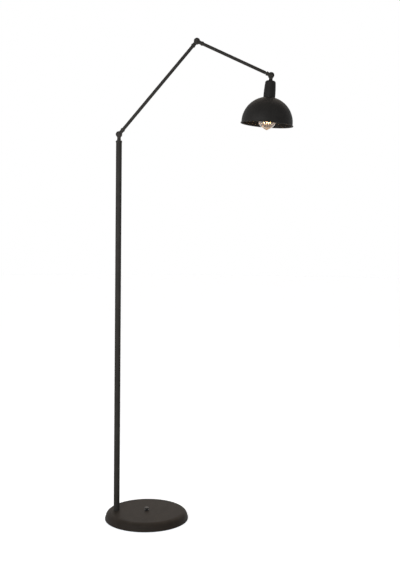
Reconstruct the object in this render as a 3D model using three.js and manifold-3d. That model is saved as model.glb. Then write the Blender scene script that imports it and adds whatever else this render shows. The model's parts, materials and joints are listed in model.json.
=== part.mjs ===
// Adjustable arm floor lamp: a weighted round base with a foot switch, a pole near the base's edge, two
// arms on half-lap knuckles, and a dome shade over a screw-base filament bulb.
// Millimetres, +Z up. The origin is on the floor at the base's centre. The arms swing in the XZ plane.
import * as THREE from "three";
import { mergeVertices } from "three/addons/utils/BufferGeometryUtils.js";
import Module from "manifold-3d";

const wasm = await Module();
wasm.setup();

// ---------------------------------------------------------------- driving dimensions
const GAP = 0.3; // air between pieces that touch
const OVERCUT = 1; // how far a cutting shape runs past what it cuts
const LARGE_SIDES = 40; // sides of the base and the shade
const MEDIUM_SIDES = 24; // sides of the pole, the cup and the knuckles
const SMALL_SIDES = 16; // sides of small turned pieces
const WIRE_SIDES = 6;
const ROUND_STEPS = 5; // steps in a small rounded corner

// Overall
const BASE_RADIUS = 150;
const BASE_HEIGHT = 28;
const SHOULDER_HEIGHT = 1388.5; // floor to the first knuckle
const LOWER_ARM_LENGTH = 440.3; // knuckle to knuckle
const UPPER_ARM_LENGTH = 296;

// How far each stretch leans from straight up, in degrees
const LOWER_ARM_LEAN = 39.5;
const UPPER_ARM_LEAN = 114.4;
const HEAD_LEAN = 184.6;

// Base
const RIM_LIFT = 0.8; // cover rim above the floor
const RIM_TOP = 4;
const SIDE_TOP = 12; // where the leaning side meets the rounded shoulder
const SIDE_DRAFT = 3;
const SHOULDER_WIDTH = 21; // reach of the rounded shoulder, seen from above
const SHOULDER_STEPS = 6;
const COVER_WALL = 1.8;
const PAD_THICKNESS = 2.3;
const PAD_INSET = 7;
const WEIGHT_INSET = 10;
const WEIGHT_THICKNESS = 15;
const WEIGHT_CHAMFER = 2;
const SUPPORT_RADIUS = 10; // posts under the cover
const SUPPORT_INSET = 50;
const SUPPORT_TURNS = [0, 70, -70];
const CHANNEL_WIDTH = 10; // wiring channels in the underside
const CHANNEL_DEPTH = 9;

// Cord inlet
const GLAND_HEIGHT = 8;
const GLAND_BORE_RADIUS = 3.3;
const GLAND_RADIUS = 4.6;
const GLAND_FLANGE = 1.2;
const GLAND_OUTSIDE = 1.2;
const GLAND_INSIDE = 9;

// Pole and its fixing
const POLE_RADIUS = 10.65;
const POLE_WALL = 1.5;
const POLE_MARGIN = 6.35; // from the pole's side to the edge of the base's flat top
const POLE_PLUG_LENGTH = 26;
const NIPPLE_RADIUS = 5;
const NIPPLE_BORE_RADIUS = 3.3;
const NIPPLE_LENGTH = 44;
const NIPPLE_LIFT = 7; // its lower end above the floor, over the lead
const NIPPLE_NUT_FLATS = 15;
const NIPPLE_NUT_HEIGHT = 4.6;
const NIPPLE_WASHER_RADIUS = 12;
const NIPPLE_WASHER_THICKNESS = 1.6;
const NUT_POCKET_DEPTH = 12;
const NUT_POCKET_SLACK = 2;
const POLE_BOSS_LIP = 5;
const POLE_CAP_LIP = 0.85; // past the pole's side
const POLE_CAP_HEIGHT = 7;
const POLE_CAP_ROUND = 3;
const POLE_CAP_PLUG = 16;

// Foot switch
const SWITCH_BODY_RADIUS = 15.5;
const SWITCH_BODY_LIFT = 5.6;
const SWITCH_POCKET_SLACK = 3.5;
const BUSHING_RADIUS = 6;
const BUSHING_RISE = 0.8; // above its nut
const BUSHING_BORE_RADIUS = 4.6;
const SWITCH_NUT_LIP = 1.7;
const SWITCH_NUT_HEIGHT = 2.1;
const BUTTON_RADIUS = 7.9;
const BUTTON_TRAVEL = 3;
const BUTTON_HEIGHT = 5.6;
const BUTTON_CROWN_RISE = 3;
const BUTTON_CROWN_REACH = 5.6;
const BUTTON_STEM_RADIUS = 2.3;
const BUTTON_STEM_LENGTH = 15;
const BUTTON_STEM_SPARE = 1.2; // under the stem when the button is down
const SPRING_WIRE_RADIUS = 0.4;
const SPRING_TURNS = 5;
const SPRING_STEPS_PER_TURN = 9;

// Arms and knuckles
const ARM_RADIUS = 6;
const ARM_WALL = 1;
const LUG_RADIUS = 11.25;
const LUG_THICKNESS = 7.6;
const LUG_CHAMFER = 0.8;
const LUG_FACE = 0.55; // mating face to the knuckle's middle
const LUG_WALL = 2; // outer face of the wiring cavity
const LUG_RIM = 2.25;
const LUG_SWING_GAP = 0.35;
const NECK_RADIUS = 7;
const NECK_WAIST = 0.5;
const NECK_WAIST_PLACE = 0.3; // how far along the neck it is slimmest
const NECK_FULL_PLACE = 0.65; // how far along it is full again
const NECK_LENGTH = 7.75; // lug to collar, and lug to socket cup
const HEAD_END_NECK_LENGTH = 3.35; // the upper arm's head end is shorter
const POLE_NECK_LENGTH = 10.75; // lug to pole cap
const COLLAR_LIP = 2; // past the tube's side
const COLLAR_LENGTH = 5.6;
const COLLAR_CHAMFER = 0.5;
const HEAD_END_COLLAR_LENGTH = 4.6;
const HEAD_END_GROOVE = 2.4; // bare stem between that collar and the tube
const STEM_LENGTH = 14;
const STEM_WALL = 1.6;
const FRICTION_RING_THICKNESS = 0.5;
const PIVOT_RADIUS = 2.5;
const PIVOT_BOSS_WALL = 1.8;
const PIVOT_HEAD_RADIUS = 6.2;
const PIVOT_HEAD_HEIGHT = 2.6;
const PIVOT_HEAD_CHAMFER = 0.6;
const PIVOT_SLOT_WIDTH = 1.5;
const PIVOT_SLOT_DEPTH = 1.3;
const PIVOT_SLOT_TURN = -22; // from straight up
const PIVOT_NUT_FLATS = 9;
const PIVOT_NUT_HEIGHT = 3.6;
const PIVOT_TAIL = 1;
const LEAD_RADIUS = 1.5;
const LEAD_SETBACK = 1.75; // a lead's end to the lug
const LEAD_BEND_RADIUS = 6;
const LEAD_BEND_STEPS = 6;
const LEAD_SIDES = 10;

// Socket cup and shade, measured from the head knuckle towards the bulb's tip
const CUP_HEIGHT = 59.2; // cup's top to the dome's top
const CUP_WALL = 0.9;
const CUP_CORNER = 8;
const CUP_TOP_TAPER = 2.35; // how much narrower the cup is at its corner than at its mouth
const CUP_TAPERS = [
  // how far up the side, from 0 to 1, and how much narrower it is there
  [0, 0],
  [0.2, 0],
  [0.55, 0.35],
  [0.88, 1.25],
];
const CUP_SLACK = 0.45; // around the holder's flange
const SHADE_RADIUS = 93;
const SHADE_WALL = 0.8;
const SHADE_STEPS = 8;
const SHADE_SKIRT = 5;
const RIM_FLARE = 3;
const RIM_DROP = 3.6;
const RIM_THICKNESS = 2;
const RIM_BEVEL = 0.6;

// Lamp holder
const LOCKNUT_FLATS = 16;
const LOCKNUT_HEIGHT = 3.4;
const HOLDER_WALL = 2.2;
const HOLDER_ROOM = 2.3; // between the screw shell and the holder's wall
const HOLDER_CAP_HEIGHT = 14;
const HOLDER_CAP_STEP = 1.9; // how much slimmer the holder's cap is than its body
const HOLDER_CAP_WALL = 2;
const HOLDER_CAP_DOME = 9;
const HOLDER_THREAD_LENGTH = 10; // of the arm's stem inside the holder
const HOLDER_REACH = 14; // past the dome's top
const HOLDER_FLANGE = 1.3;
const HOLDER_FLANGE_THICKNESS = 3;
const INSULATOR_THICKNESS = 7;
const INSULATOR_WIRE_RADIUS = 2;
const HOLDER_CONTACT_RADIUS = 3.6;
const SHADE_RING_WIDTH = 8;
const SHADE_RING_FLANGE = 2.6;
const SHADE_RING_GRIP = 3.4;
const SHADE_RING_HEIGHT = 7.5;

// Bulb
const BULB_LENGTH = 140;
const BULB_RADIUS = 32;
const BULB_TIP_HEIGHT = 32; // widest section to the tip
const BULB_SEAT = 19; // its contact above the dome's top
const BULB_WALL = 0.8;
const BULB_TIP_SHOULDER = 2.3; // a higher power keeps the tip wide for longer
const BULB_TIP_CLOSE = 0.85; // a lower power closes the tip more bluntly
const BULB_NECK_STEP = 0.2; // how much slimmer the glass is there than the screw cap
const BULB_TIP_STEPS = 8;
const BULB_BODY_STEPS = 8;
const SCREW_CAP_RADIUS = 13.1;
const SCREW_CAP_LENGTH = 22;
const SCREW_CAP_WALL = 0.6;
const SCREW_THREADS = 4;
const SCREW_THREAD_DEPTH = 0.9;
const SHELL_SLACK = 0.5;
const SHELL_WALL = 0.8;
const CONTACT_RADIUS = 4.6;
const CONTACT_THICKNESS = 0.8;
const BUTTON_GLASS_HEIGHT = 2.2;
const STEM_FLARE_SLACK = 1.6; // between the stem's flare and the neck
const STEM_FLARE_HEIGHT = 9;
const STEM_PRESS_RADIUS = 4;
const STEM_HEIGHT = 30;
const STEM_ROD_RADIUS = 1.5;
const STEM_TIP_ROOM = 22.4; // from the rod's end to the bulb's tip
const FILAMENT_RADIUS = 0.6;
const FILAMENT_LEGS = 8;
const FILAMENT_LEG_STEPS = 3;
const FILAMENT_TOP_RING = 8;
const FILAMENT_FOOT_RING = 12.5;
const UPPER_SUPPORT_DROP = 9; // from the stem's press
const LOWER_SUPPORT_RISE = 2; // from the rod's end
const SUPPORT_WIRE_RADIUS = 0.45;
const SUPPORT_HUB_WALL = 0.9;
const SUPPORT_HUB_HEIGHT = 1.6;

// ---------------------------------------------------------------- sizes worked out from them
const BASE_TOP_RADIUS = BASE_RADIUS - SIDE_DRAFT - SHOULDER_WIDTH;
const POLE_INSET = BASE_RADIUS - BASE_TOP_RADIUS + POLE_MARGIN + POLE_RADIUS; // base edge to pole axis
const POLE_X = POLE_INSET - BASE_RADIUS;
const COVER_CEILING = BASE_HEIGHT - COVER_WALL;
const WEIGHT_BOTTOM = PAD_THICKNESS + GAP;
const WEIGHT_RADIUS = BASE_RADIUS - WEIGHT_INSET;
const NUT_POCKET_TOP = WEIGHT_BOTTOM + NUT_POCKET_DEPTH;
const NIPPLE_HOLE_RADIUS = NIPPLE_RADIUS + GAP;
const POLE_PLUG_RADIUS = POLE_RADIUS - POLE_WALL - GAP;
const POLE_CAP_TOP = SHOULDER_HEIGHT - LUG_RADIUS - POLE_NECK_LENGTH;
const SWITCH_NUT_TOP = BASE_HEIGHT + GAP + SWITCH_NUT_HEIGHT;
const BUSHING_TOP = SWITCH_NUT_TOP + BUSHING_RISE;
const BUTTON_BOTTOM = SWITCH_NUT_TOP + GAP + BUTTON_TRAVEL;
const BUTTON_CEILING = BUSHING_TOP + GAP + BUTTON_TRAVEL;
const BUTTON_STEM_END = BUTTON_CEILING - BUTTON_STEM_LENGTH;
const BUSHING_FLOOR = BUTTON_STEM_END - BUTTON_TRAVEL - BUTTON_STEM_SPARE;
const ARM_STEM_RADIUS = ARM_RADIUS - ARM_WALL - GAP;
const LEAD_BORE_RADIUS = ARM_STEM_RADIUS - STEM_WALL;
const LEAD_START = LUG_RADIUS + LEAD_SETBACK;
const COLLAR_RADIUS = ARM_RADIUS + COLLAR_LIP;
const COLLAR_START = LUG_RADIUS + NECK_LENGTH;
const COLLAR_END = COLLAR_START + COLLAR_LENGTH;
const HEAD_END_COLLAR_START = LUG_RADIUS + HEAD_END_NECK_LENGTH;
const HEAD_END_COLLAR_END = HEAD_END_COLLAR_START + HEAD_END_COLLAR_LENGTH;
const LUG_OUTSIDE = LUG_FACE + LUG_THICKNESS;
const LUG_CAVITY_RADIUS = LUG_RADIUS - LUG_RIM;
const PIVOT_HOLE_RADIUS = PIVOT_RADIUS + GAP;
const PIVOT_BOSS_RADIUS = PIVOT_HOLE_RADIUS + PIVOT_BOSS_WALL;
const SHELL_RADIUS = SCREW_CAP_RADIUS + SHELL_SLACK + SHELL_WALL;
const HOLDER_RADIUS = SHELL_RADIUS + HOLDER_ROOM + HOLDER_WALL;
const HOLDER_CAP_RADIUS = HOLDER_RADIUS - HOLDER_CAP_STEP;
const HOLDER_FLANGE_RADIUS = HOLDER_RADIUS + HOLDER_FLANGE;
const CUP_RADIUS = HOLDER_FLANGE_RADIUS + CUP_SLACK + CUP_WALL;
const HEAD_NECK_END = LUG_RADIUS + NECK_LENGTH;
const CUP_TOP = HEAD_NECK_END + GAP;
const SHADE_TOP = CUP_TOP + CUP_HEIGHT;
const SHADE_HOLE_RADIUS = HOLDER_RADIUS + GAP;
const LOCKNUT_TOP = CUP_TOP + CUP_WALL + GAP;
const HOLDER_TOP = LOCKNUT_TOP + LOCKNUT_HEIGHT + GAP;
const HOLDER_BODY_TOP = HOLDER_TOP + HOLDER_CAP_HEIGHT + GAP;
const HOLDER_BODY_END = SHADE_TOP + HOLDER_REACH;
const BULB_START = SHADE_TOP - BULB_SEAT;
const BULB_TIP = BULB_START + BULB_LENGTH;
const SCREW_CAP_START = BULB_START + CONTACT_THICKNESS + BUTTON_GLASS_HEIGHT + 2 * GAP;
const SCREW_CAP_END = SCREW_CAP_START + SCREW_CAP_LENGTH;
const INSULATOR_END = BULB_START - GAP - CONTACT_THICKNESS - GAP;
const INSULATOR_START = INSULATOR_END - INSULATOR_THICKNESS;
const BULB_NECK_RADIUS = SCREW_CAP_RADIUS - BULB_NECK_STEP;
const STEM_FLARE_RADIUS = BULB_NECK_RADIUS - BULB_WALL - STEM_FLARE_SLACK;
const STEM_PRESS_END = SCREW_CAP_END + STEM_HEIGHT;
const STEM_ROD_LENGTH = BULB_TIP - STEM_TIP_ROOM - STEM_PRESS_END;
const STEM_ROD_END = STEM_PRESS_END + STEM_ROD_LENGTH;
const UPPER_SUPPORT = STEM_PRESS_END + UPPER_SUPPORT_DROP;
const LOWER_SUPPORT = STEM_ROD_END - LOWER_SUPPORT_RISE;

// ---------------------------------------------------------------- finishes
const FINISHES = {
  powderCoat: { color: 0x3f3b38, roughness: 0.6, metalness: 0.15 },
  castIron: { color: 0x45423f, roughness: 0.8, metalness: 0.7 },
  zincSteel: { color: 0x9a9c9e, roughness: 0.4, metalness: 0.9 },
  brass: { color: 0xb08d4c, roughness: 0.35, metalness: 0.95 },
  foam: { color: 0x1d1c1b, roughness: 0.95, metalness: 0 },
  blackPlastic: { color: 0x211f1e, roughness: 0.5, metalness: 0 },
  leadSheath: { color: 0x161616, roughness: 0.6, metalness: 0 },
  fibreRing: { color: 0x2a2624, roughness: 0.8, metalness: 0 },
  ceramic: { color: 0xe6e1d6, roughness: 0.45, metalness: 0 },
  glass: { color: 0xf2e6d4, roughness: 0.05, metalness: 0, transparent: true, opacity: 0.35 },
  blackGlass: { color: 0x17141c, roughness: 0.2, metalness: 0 },
  filament: { color: 0xffc178, roughness: 0.5, metalness: 0.2, emissive: 0xff9a3c },
};

// ---------------------------------------------------------------- shared shapes
function piece(name, finish, geometry) {
  const mesh = new THREE.Mesh(geometry, new THREE.MeshStandardMaterial(FINISHES[finish]));
  mesh.name = name;
  return mesh;
}

// A solid of revolution about Z. The outline's [radius, height] points run anticlockwise.
function turned(outline, sides = SMALL_SIDES) {
  const points = outline.map(([radius, height]) => new THREE.Vector2(radius, height));
  return new THREE.LatheGeometry(points, sides).rotateX(Math.PI / 2);
}

function rod(radius, bottom, top, sides = SMALL_SIDES) {
  return turned([[0, bottom], [radius, bottom], [radius, top], [0, top]], sides);
}

function ring(inner, outer, bottom, top, sides = SMALL_SIDES) {
  return turned(closed([[inner, bottom], [outer, bottom], [outer, top], [inner, top]]), sides);
}

function closed(outline) {
  return [...outline, outline[0]];
}

// The same shape with its Z axis laid along Y.
function alongY(geometry) {
  return geometry.rotateX(-Math.PI / 2);
}

function box(sizeX, sizeY, sizeZ, x, y, z) {
  return new THREE.BoxGeometry(sizeX, sizeY, sizeZ).translate(x, y, z);
}

// A quarter of an ellipse about (centreRadius, centreHeight), from beside the centre to above it.
function quarter(centreRadius, centreHeight, reach, rise, steps) {
  return Array.from({ length: steps + 1 }, (_, step) => {
    const turn = (Math.PI / 2) * (step / steps);
    return [centreRadius + reach * Math.cos(turn), centreHeight + rise * Math.sin(turn)];
  });
}

function hexNut(flats, bore, bottom, height) {
  const corner = flats / Math.sqrt(3);
  const outline = new THREE.Shape();
  for (let side = 0; side < 6; side += 1) {
    const turn = (Math.PI / 3) * side;
    const place = [corner * Math.cos(turn), corner * Math.sin(turn)];
    if (side === 0) outline.moveTo(...place);
    else outline.lineTo(...place);
  }
  outline.closePath();
  outline.holes.push(new THREE.Path().absarc(0, 0, bore, 0, 2 * Math.PI, true));
  const settings = { depth: height, bevelEnabled: false, curveSegments: SMALL_SIDES / 2 };
  return new THREE.ExtrudeGeometry(outline, settings).translate(0, 0, bottom);
}

// A path whose stations are the given points, so bends take short steps and straights take long ones.
class Route extends THREE.Curve {
  constructor(points) {
    super();
    this.points = points;
  }

  getPoint(t, target = new THREE.Vector3()) {
    const last = this.points.length - 1;
    const index = Math.min(Math.floor(t * last), last - 1);
    return target.lerpVectors(this.points[index], this.points[index + 1], t * last - index);
  }

  getPointAt(t, target) {
    return this.getPoint(t, target);
  }

  getTangentAt(t, target) {
    return this.getTangent(t, target);
  }
}

function wire(points, radius, sides) {
  const section = new THREE.Shape().absarc(0, 0, radius, 0, 2 * Math.PI, false);
  const settings = {
    steps: points.length - 1,
    curveSegments: sides / 2,
    extrudePath: new Route(points),
    bevelEnabled: false,
  };
  return new THREE.ExtrudeGeometry(section, settings);
}

function solidOf(geometry) {
  const bare = geometry.clone();
  bare.deleteAttribute("normal");
  bare.deleteAttribute("uv");
  const merged = mergeVertices(bare, 1e-4);
  return new wasm.Manifold(
    new wasm.Mesh({
      numProp: 3,
      vertProperties: merged.attributes.position.array,
      triVerts: new Uint32Array(merged.index.array),
    }),
  );
}

function geometryOf(solid) {
  const mesh = solid.getMesh();
  const geometry = new THREE.BufferGeometry();
  geometry.setAttribute("position", new THREE.BufferAttribute(new Float32Array(mesh.vertProperties), 3));
  geometry.setIndex(new THREE.BufferAttribute(new Uint32Array(mesh.triVerts), 1));
  geometry.computeVertexNormals();
  return geometry;
}

function joined(...geometries) {
  return geometryOf(geometries.map(solidOf).reduce((whole, next) => whole.add(next)));
}

function cut(geometry, ...tools) {
  return geometryOf(tools.map(solidOf).reduce((whole, tool) => whole.subtract(tool), solidOf(geometry)));
}

// ---------------------------------------------------------------- base
// The base's outer outline moved in by inset, from the rim's foot up to the middle of the top.
function baseOutline(inset) {
  const radius = BASE_RADIUS - inset;
  const rise = BASE_HEIGHT - SIDE_TOP - inset;
  return [
    [radius, RIM_LIFT],
    [radius, RIM_TOP],
    ...quarter(BASE_TOP_RADIUS, SIDE_TOP, SHOULDER_WIDTH - inset, rise, SHOULDER_STEPS),
    [0, BASE_HEIGHT - inset],
  ];
}

function baseCover() {
  const shell = turned(closed([...baseOutline(0), ...baseOutline(COVER_WALL).reverse()]), LARGE_SIDES);
  const poleHole = rod(NIPPLE_HOLE_RADIUS, SIDE_TOP, BASE_HEIGHT + OVERCUT).translate(POLE_X, 0, 0);
  const switchHole = rod(BUSHING_RADIUS + GAP, SIDE_TOP, BASE_HEIGHT + OVERCUT);
  const inlet = alongY(rod(GLAND_RADIUS + GAP, BASE_RADIUS / 2, BASE_RADIUS + OVERCUT));
  return cut(shell, poleHole, switchHole, inlet.translate(0, 0, GLAND_HEIGHT));
}

function basePad() {
  return rod(BASE_RADIUS - PAD_INSET, 0, PAD_THICKNESS, LARGE_SIDES);
}

function baseWeight() {
  const top = WEIGHT_BOTTOM + WEIGHT_THICKNESS;
  const postTop = COVER_CEILING - GAP;
  const plate = turned(
    [
      [0, WEIGHT_BOTTOM],
      [WEIGHT_RADIUS, WEIGHT_BOTTOM],
      [WEIGHT_RADIUS, top - WEIGHT_CHAMFER],
      [WEIGHT_RADIUS - WEIGHT_CHAMFER, top],
      [0, top],
    ],
    LARGE_SIDES,
  );
  const root = top - WEIGHT_CHAMFER;
  const poleBoss = rod(POLE_RADIUS + POLE_BOSS_LIP, root, postTop).translate(POLE_X, 0, 0);
  const reach = BASE_RADIUS - SUPPORT_INSET;
  const posts = SUPPORT_TURNS.map((turn) =>
    rod(SUPPORT_RADIUS, root, postTop).translate(reach, 0, 0).rotateZ(THREE.MathUtils.degToRad(turn)),
  );
  const below = WEIGHT_BOTTOM - OVERCUT;
  const switchPocket = rod(SWITCH_BODY_RADIUS + SWITCH_POCKET_SLACK, below, postTop, MEDIUM_SIDES);
  const nutPocket = rod(NIPPLE_WASHER_RADIUS + NUT_POCKET_SLACK, below, NUT_POCKET_TOP);
  const nippleHole = rod(NIPPLE_HOLE_RADIUS, below, postTop + OVERCUT);
  const channelHeight = CHANNEL_DEPTH + OVERCUT;
  const channelMiddle = below + channelHeight / 2;
  const poleChannel = box(-POLE_X, CHANNEL_WIDTH, channelHeight, POLE_X / 2, 0, channelMiddle);
  const cordChannel = box(CHANNEL_WIDTH, BASE_RADIUS, channelHeight, 0, BASE_RADIUS / 2, channelMiddle);
  return cut(
    joined(plate, poleBoss, ...posts),
    switchPocket,
    nutPocket.translate(POLE_X, 0, 0),
    nippleHole.translate(POLE_X, 0, 0),
    poleChannel,
    cordChannel,
  );
}

// The inlet's outer flange is shaped to the leaning side of the cover.
function cordGland() {
  const outside = BASE_RADIUS + GLAND_OUTSIDE;
  const inside = BASE_RADIUS - GLAND_INSIDE;
  const flangeRadius = GLAND_RADIUS + GLAND_FLANGE;
  const disc = alongY(rod(flangeRadius, BASE_RADIUS - 2 * COVER_WALL, outside));
  const side = turned([[0, 0], [BASE_RADIUS + GAP, 0], ...baseOutline(-GAP)], LARGE_SIDES);
  const flange = cut(disc.translate(0, 0, GLAND_HEIGHT), side);
  const barrel = alongY(rod(GLAND_RADIUS, inside, outside - GAP));
  const bore = alongY(rod(GLAND_BORE_RADIUS, inside - OVERCUT, outside + OVERCUT));
  return cut(joined(flange, barrel.translate(0, 0, GLAND_HEIGHT)), bore.translate(0, 0, GLAND_HEIGHT));
}

// ---------------------------------------------------------------- foot switch
function switchBody() {
  const shoulder = COVER_CEILING - GAP;
  const outline = [
    [0, SWITCH_BODY_LIFT],
    [SWITCH_BODY_RADIUS, SWITCH_BODY_LIFT],
    [SWITCH_BODY_RADIUS, shoulder],
    [BUSHING_RADIUS, shoulder],
    [BUSHING_RADIUS, BUSHING_TOP],
    [BUSHING_BORE_RADIUS, BUSHING_TOP],
    [BUSHING_BORE_RADIUS, BUSHING_FLOOR],
    [0, BUSHING_FLOOR],
  ];
  return turned(outline);
}

function switchNut() {
  const outer = BUSHING_RADIUS + SWITCH_NUT_LIP;
  return ring(BUSHING_RADIUS + GAP, outer, BASE_HEIGHT + GAP, SWITCH_NUT_TOP);
}

// The button's cap hides the bushing, and its stem slides in it.
function switchButton() {
  const top = BUTTON_BOTTOM + BUTTON_HEIGHT;
  const flat = BUTTON_RADIUS - BUTTON_CROWN_REACH;
  const crown = quarter(flat, top - BUTTON_CROWN_RISE, BUTTON_CROWN_REACH, BUTTON_CROWN_RISE, ROUND_STEPS);
  const skirtRadius = BUSHING_RADIUS + 2 * GAP;
  return turned([
    [0, BUTTON_STEM_END],
    [BUTTON_STEM_RADIUS, BUTTON_STEM_END],
    [BUTTON_STEM_RADIUS, BUTTON_CEILING],
    [skirtRadius, BUTTON_CEILING],
    [skirtRadius, BUTTON_BOTTOM],
    [BUTTON_RADIUS, BUTTON_BOTTOM],
    ...crown,
    [0, top],
  ]);
}

// A compression spring between the bushing's floor and the button's ceiling.
function switchSpring() {
  const bottom = BUSHING_FLOOR + GAP + SPRING_WIRE_RADIUS;
  const top = BUTTON_CEILING - GAP - SPRING_WIRE_RADIUS;
  const coil = (BUSHING_BORE_RADIUS + BUTTON_STEM_RADIUS) / 2;
  const steps = SPRING_TURNS * SPRING_STEPS_PER_TURN;
  const points = Array.from({ length: steps + 1 }, (_, step) => {
    const turn = (2 * Math.PI * step) / SPRING_STEPS_PER_TURN;
    const height = bottom + ((top - bottom) * step) / steps;
    return new THREE.Vector3(coil * Math.cos(turn), coil * Math.sin(turn), height);
  });
  return wire(points, SPRING_WIRE_RADIUS, WIRE_SIDES);
}

// ---------------------------------------------------------------- pole
function poleTube() {
  const top = POLE_CAP_TOP - POLE_CAP_HEIGHT - GAP;
  return ring(POLE_RADIUS - POLE_WALL, POLE_RADIUS, BASE_HEIGHT + GAP, top, MEDIUM_SIDES);
}

function polePlug() {
  return ring(NIPPLE_HOLE_RADIUS, POLE_PLUG_RADIUS, BASE_HEIGHT + GAP, BASE_HEIGHT + POLE_PLUG_LENGTH);
}

function poleNipple() {
  return ring(NIPPLE_BORE_RADIUS, NIPPLE_RADIUS, NIPPLE_LIFT, NIPPLE_LIFT + NIPPLE_LENGTH);
}

function poleWasher() {
  const top = NUT_POCKET_TOP - GAP;
  return ring(NIPPLE_HOLE_RADIUS, NIPPLE_WASHER_RADIUS, top - NIPPLE_WASHER_THICKNESS, top);
}

function poleNut() {
  const top = NUT_POCKET_TOP - NIPPLE_WASHER_THICKNESS - 2 * GAP;
  return hexNut(NIPPLE_NUT_FLATS, NIPPLE_HOLE_RADIUS, top - NIPPLE_NUT_HEIGHT, NIPPLE_NUT_HEIGHT);
}

function poleCap() {
  const radius = POLE_RADIUS + POLE_CAP_LIP;
  const bottom = POLE_CAP_TOP - POLE_CAP_HEIGHT;
  const bore = ARM_STEM_RADIUS + GAP;
  const round = POLE_CAP_ROUND;
  const outline = [
    [bore, bottom - POLE_CAP_PLUG],
    [POLE_PLUG_RADIUS, bottom - POLE_CAP_PLUG],
    [POLE_PLUG_RADIUS, bottom],
    [radius, bottom],
    ...quarter(radius - round, POLE_CAP_TOP - round, round, round, ROUND_STEPS),
    [bore, POLE_CAP_TOP],
  ];
  return turned(closed(outline), MEDIUM_SIDES);
}

// From the switch along the channel, up through the nipple and the pole to the first knuckle.
function poleLead() {
  const low = WEIGHT_BOTTOM + LEAD_RADIUS + GAP;
  const bend = Array.from({ length: LEAD_BEND_STEPS + 1 }, (_, step) => {
    const turn = (Math.PI / 2) * (step / LEAD_BEND_STEPS);
    const back = LEAD_BEND_RADIUS * (1 - Math.sin(turn));
    return new THREE.Vector3(POLE_X + back, 0, low + LEAD_BEND_RADIUS * (1 - Math.cos(turn)));
  });
  const start = new THREE.Vector3(-SWITCH_BODY_RADIUS - 2 * GAP, 0, low);
  const end = new THREE.Vector3(POLE_X, 0, SHOULDER_HEIGHT - LEAD_START);
  return wire([start, ...bend, end], LEAD_RADIUS, LEAD_SIDES);
}

// ---------------------------------------------------------------- knuckles
// The turned neck of a knuckle half: a waist, an optional collar and a hollow stem.
function neckOutline({ neckEnd, collarEnd, stemEnd }) {
  const length = neckEnd - LUG_RADIUS;
  const collar = [
    [COLLAR_RADIUS, neckEnd],
    [COLLAR_RADIUS, collarEnd - COLLAR_CHAMFER],
    [COLLAR_RADIUS - COLLAR_CHAMFER, collarEnd],
  ];
  return [
    [0, 0],
    [NECK_RADIUS, 0],
    [NECK_RADIUS, LUG_RADIUS],
    [NECK_RADIUS - NECK_WAIST, LUG_RADIUS + NECK_WAIST_PLACE * length],
    [NECK_RADIUS, LUG_RADIUS + NECK_FULL_PLACE * length],
    ...(collarEnd ? collar : [[NECK_RADIUS, neckEnd]]),
    [ARM_STEM_RADIUS, collarEnd ?? neckEnd],
    [ARM_STEM_RADIUS, stemEnd],
    [0, stemEnd],
  ];
}

// One half of a half-lap knuckle: a lug behind the pivot plane with a wiring cavity that opens towards its
// mate, and a neck along +Z. The pivot is the Y axis.
function knuckleHalf(neck) {
  const lug = alongY(
    turned(
      [
        [0, LUG_FACE],
        [LUG_RADIUS, LUG_FACE],
        [LUG_RADIUS, LUG_OUTSIDE - LUG_CHAMFER],
        [LUG_RADIUS - LUG_CHAMFER, LUG_OUTSIDE],
        [0, LUG_OUTSIDE],
      ],
      MEDIUM_SIDES,
    ),
  );
  const mateRoom = alongY(rod(LUG_RADIUS + LUG_SWING_GAP, -2 * LUG_OUTSIDE, LUG_FACE, MEDIUM_SIDES));
  const cavity = alongY(ring(PIVOT_BOSS_RADIUS, LUG_CAVITY_RADIUS, 0, LUG_OUTSIDE - LUG_WALL));
  const pivotHole = alongY(rod(PIVOT_HOLE_RADIUS, 0, 2 * LUG_OUTSIDE));
  const boreStart = (PIVOT_BOSS_RADIUS + LUG_CAVITY_RADIUS) / 2;
  const leadBore = rod(LEAD_BORE_RADIUS, boreStart, neck.stemEnd + OVERCUT);
  return cut(joined(lug, turned(neckOutline(neck))), mateRoom, cavity, pivotHole, leadBore);
}

function pivotScrew(slotTurn) {
  const under = -LUG_OUTSIDE - GAP;
  const top = under - PIVOT_HEAD_HEIGHT;
  const tail = LUG_OUTSIDE + GAP + PIVOT_NUT_HEIGHT + PIVOT_TAIL;
  const screw = turned([
    [0, top],
    [PIVOT_HEAD_RADIUS - PIVOT_HEAD_CHAMFER, top],
    [PIVOT_HEAD_RADIUS, top + PIVOT_HEAD_CHAMFER],
    [PIVOT_HEAD_RADIUS, under],
    [PIVOT_RADIUS, under],
    [PIVOT_RADIUS, tail],
    [0, tail],
  ]);
  const slot = box(PIVOT_SLOT_WIDTH, 4 * PIVOT_HEAD_RADIUS, 2 * PIVOT_SLOT_DEPTH, 0, 0, top);
  return alongY(cut(screw, slot)).rotateY(THREE.MathUtils.degToRad(slotTurn));
}

function pivotNut() {
  return alongY(hexNut(PIVOT_NUT_FLATS, PIVOT_HOLE_RADIUS, LUG_OUTSIDE + GAP, PIVOT_NUT_HEIGHT));
}

function frictionRing() {
  const half = FRICTION_RING_THICKNESS / 2;
  return alongY(ring(LUG_CAVITY_RADIUS + GAP, LUG_RADIUS - GAP, -half, half, MEDIUM_SIDES));
}

// The pieces of a knuckle that stay with the stretch below it, around that stretch's end. The lug's neck
// points back down the stretch.
function fixedHalf(name, neck, lean) {
  const group = new THREE.Group();
  const lug = piece(`${name}_lug_fixed`, "powderCoat", knuckleHalf(neck));
  lug.rotation.y = Math.PI;
  group.add(lug);
  group.add(piece(`${name}_friction_ring`, "fibreRing", frictionRing()));
  group.add(piece(`${name}_pivot_screw`, "powderCoat", pivotScrew(PIVOT_SLOT_TURN - lean)));
  group.add(piece(`${name}_pivot_nut`, "powderCoat", pivotNut()));
  return group;
}

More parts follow.
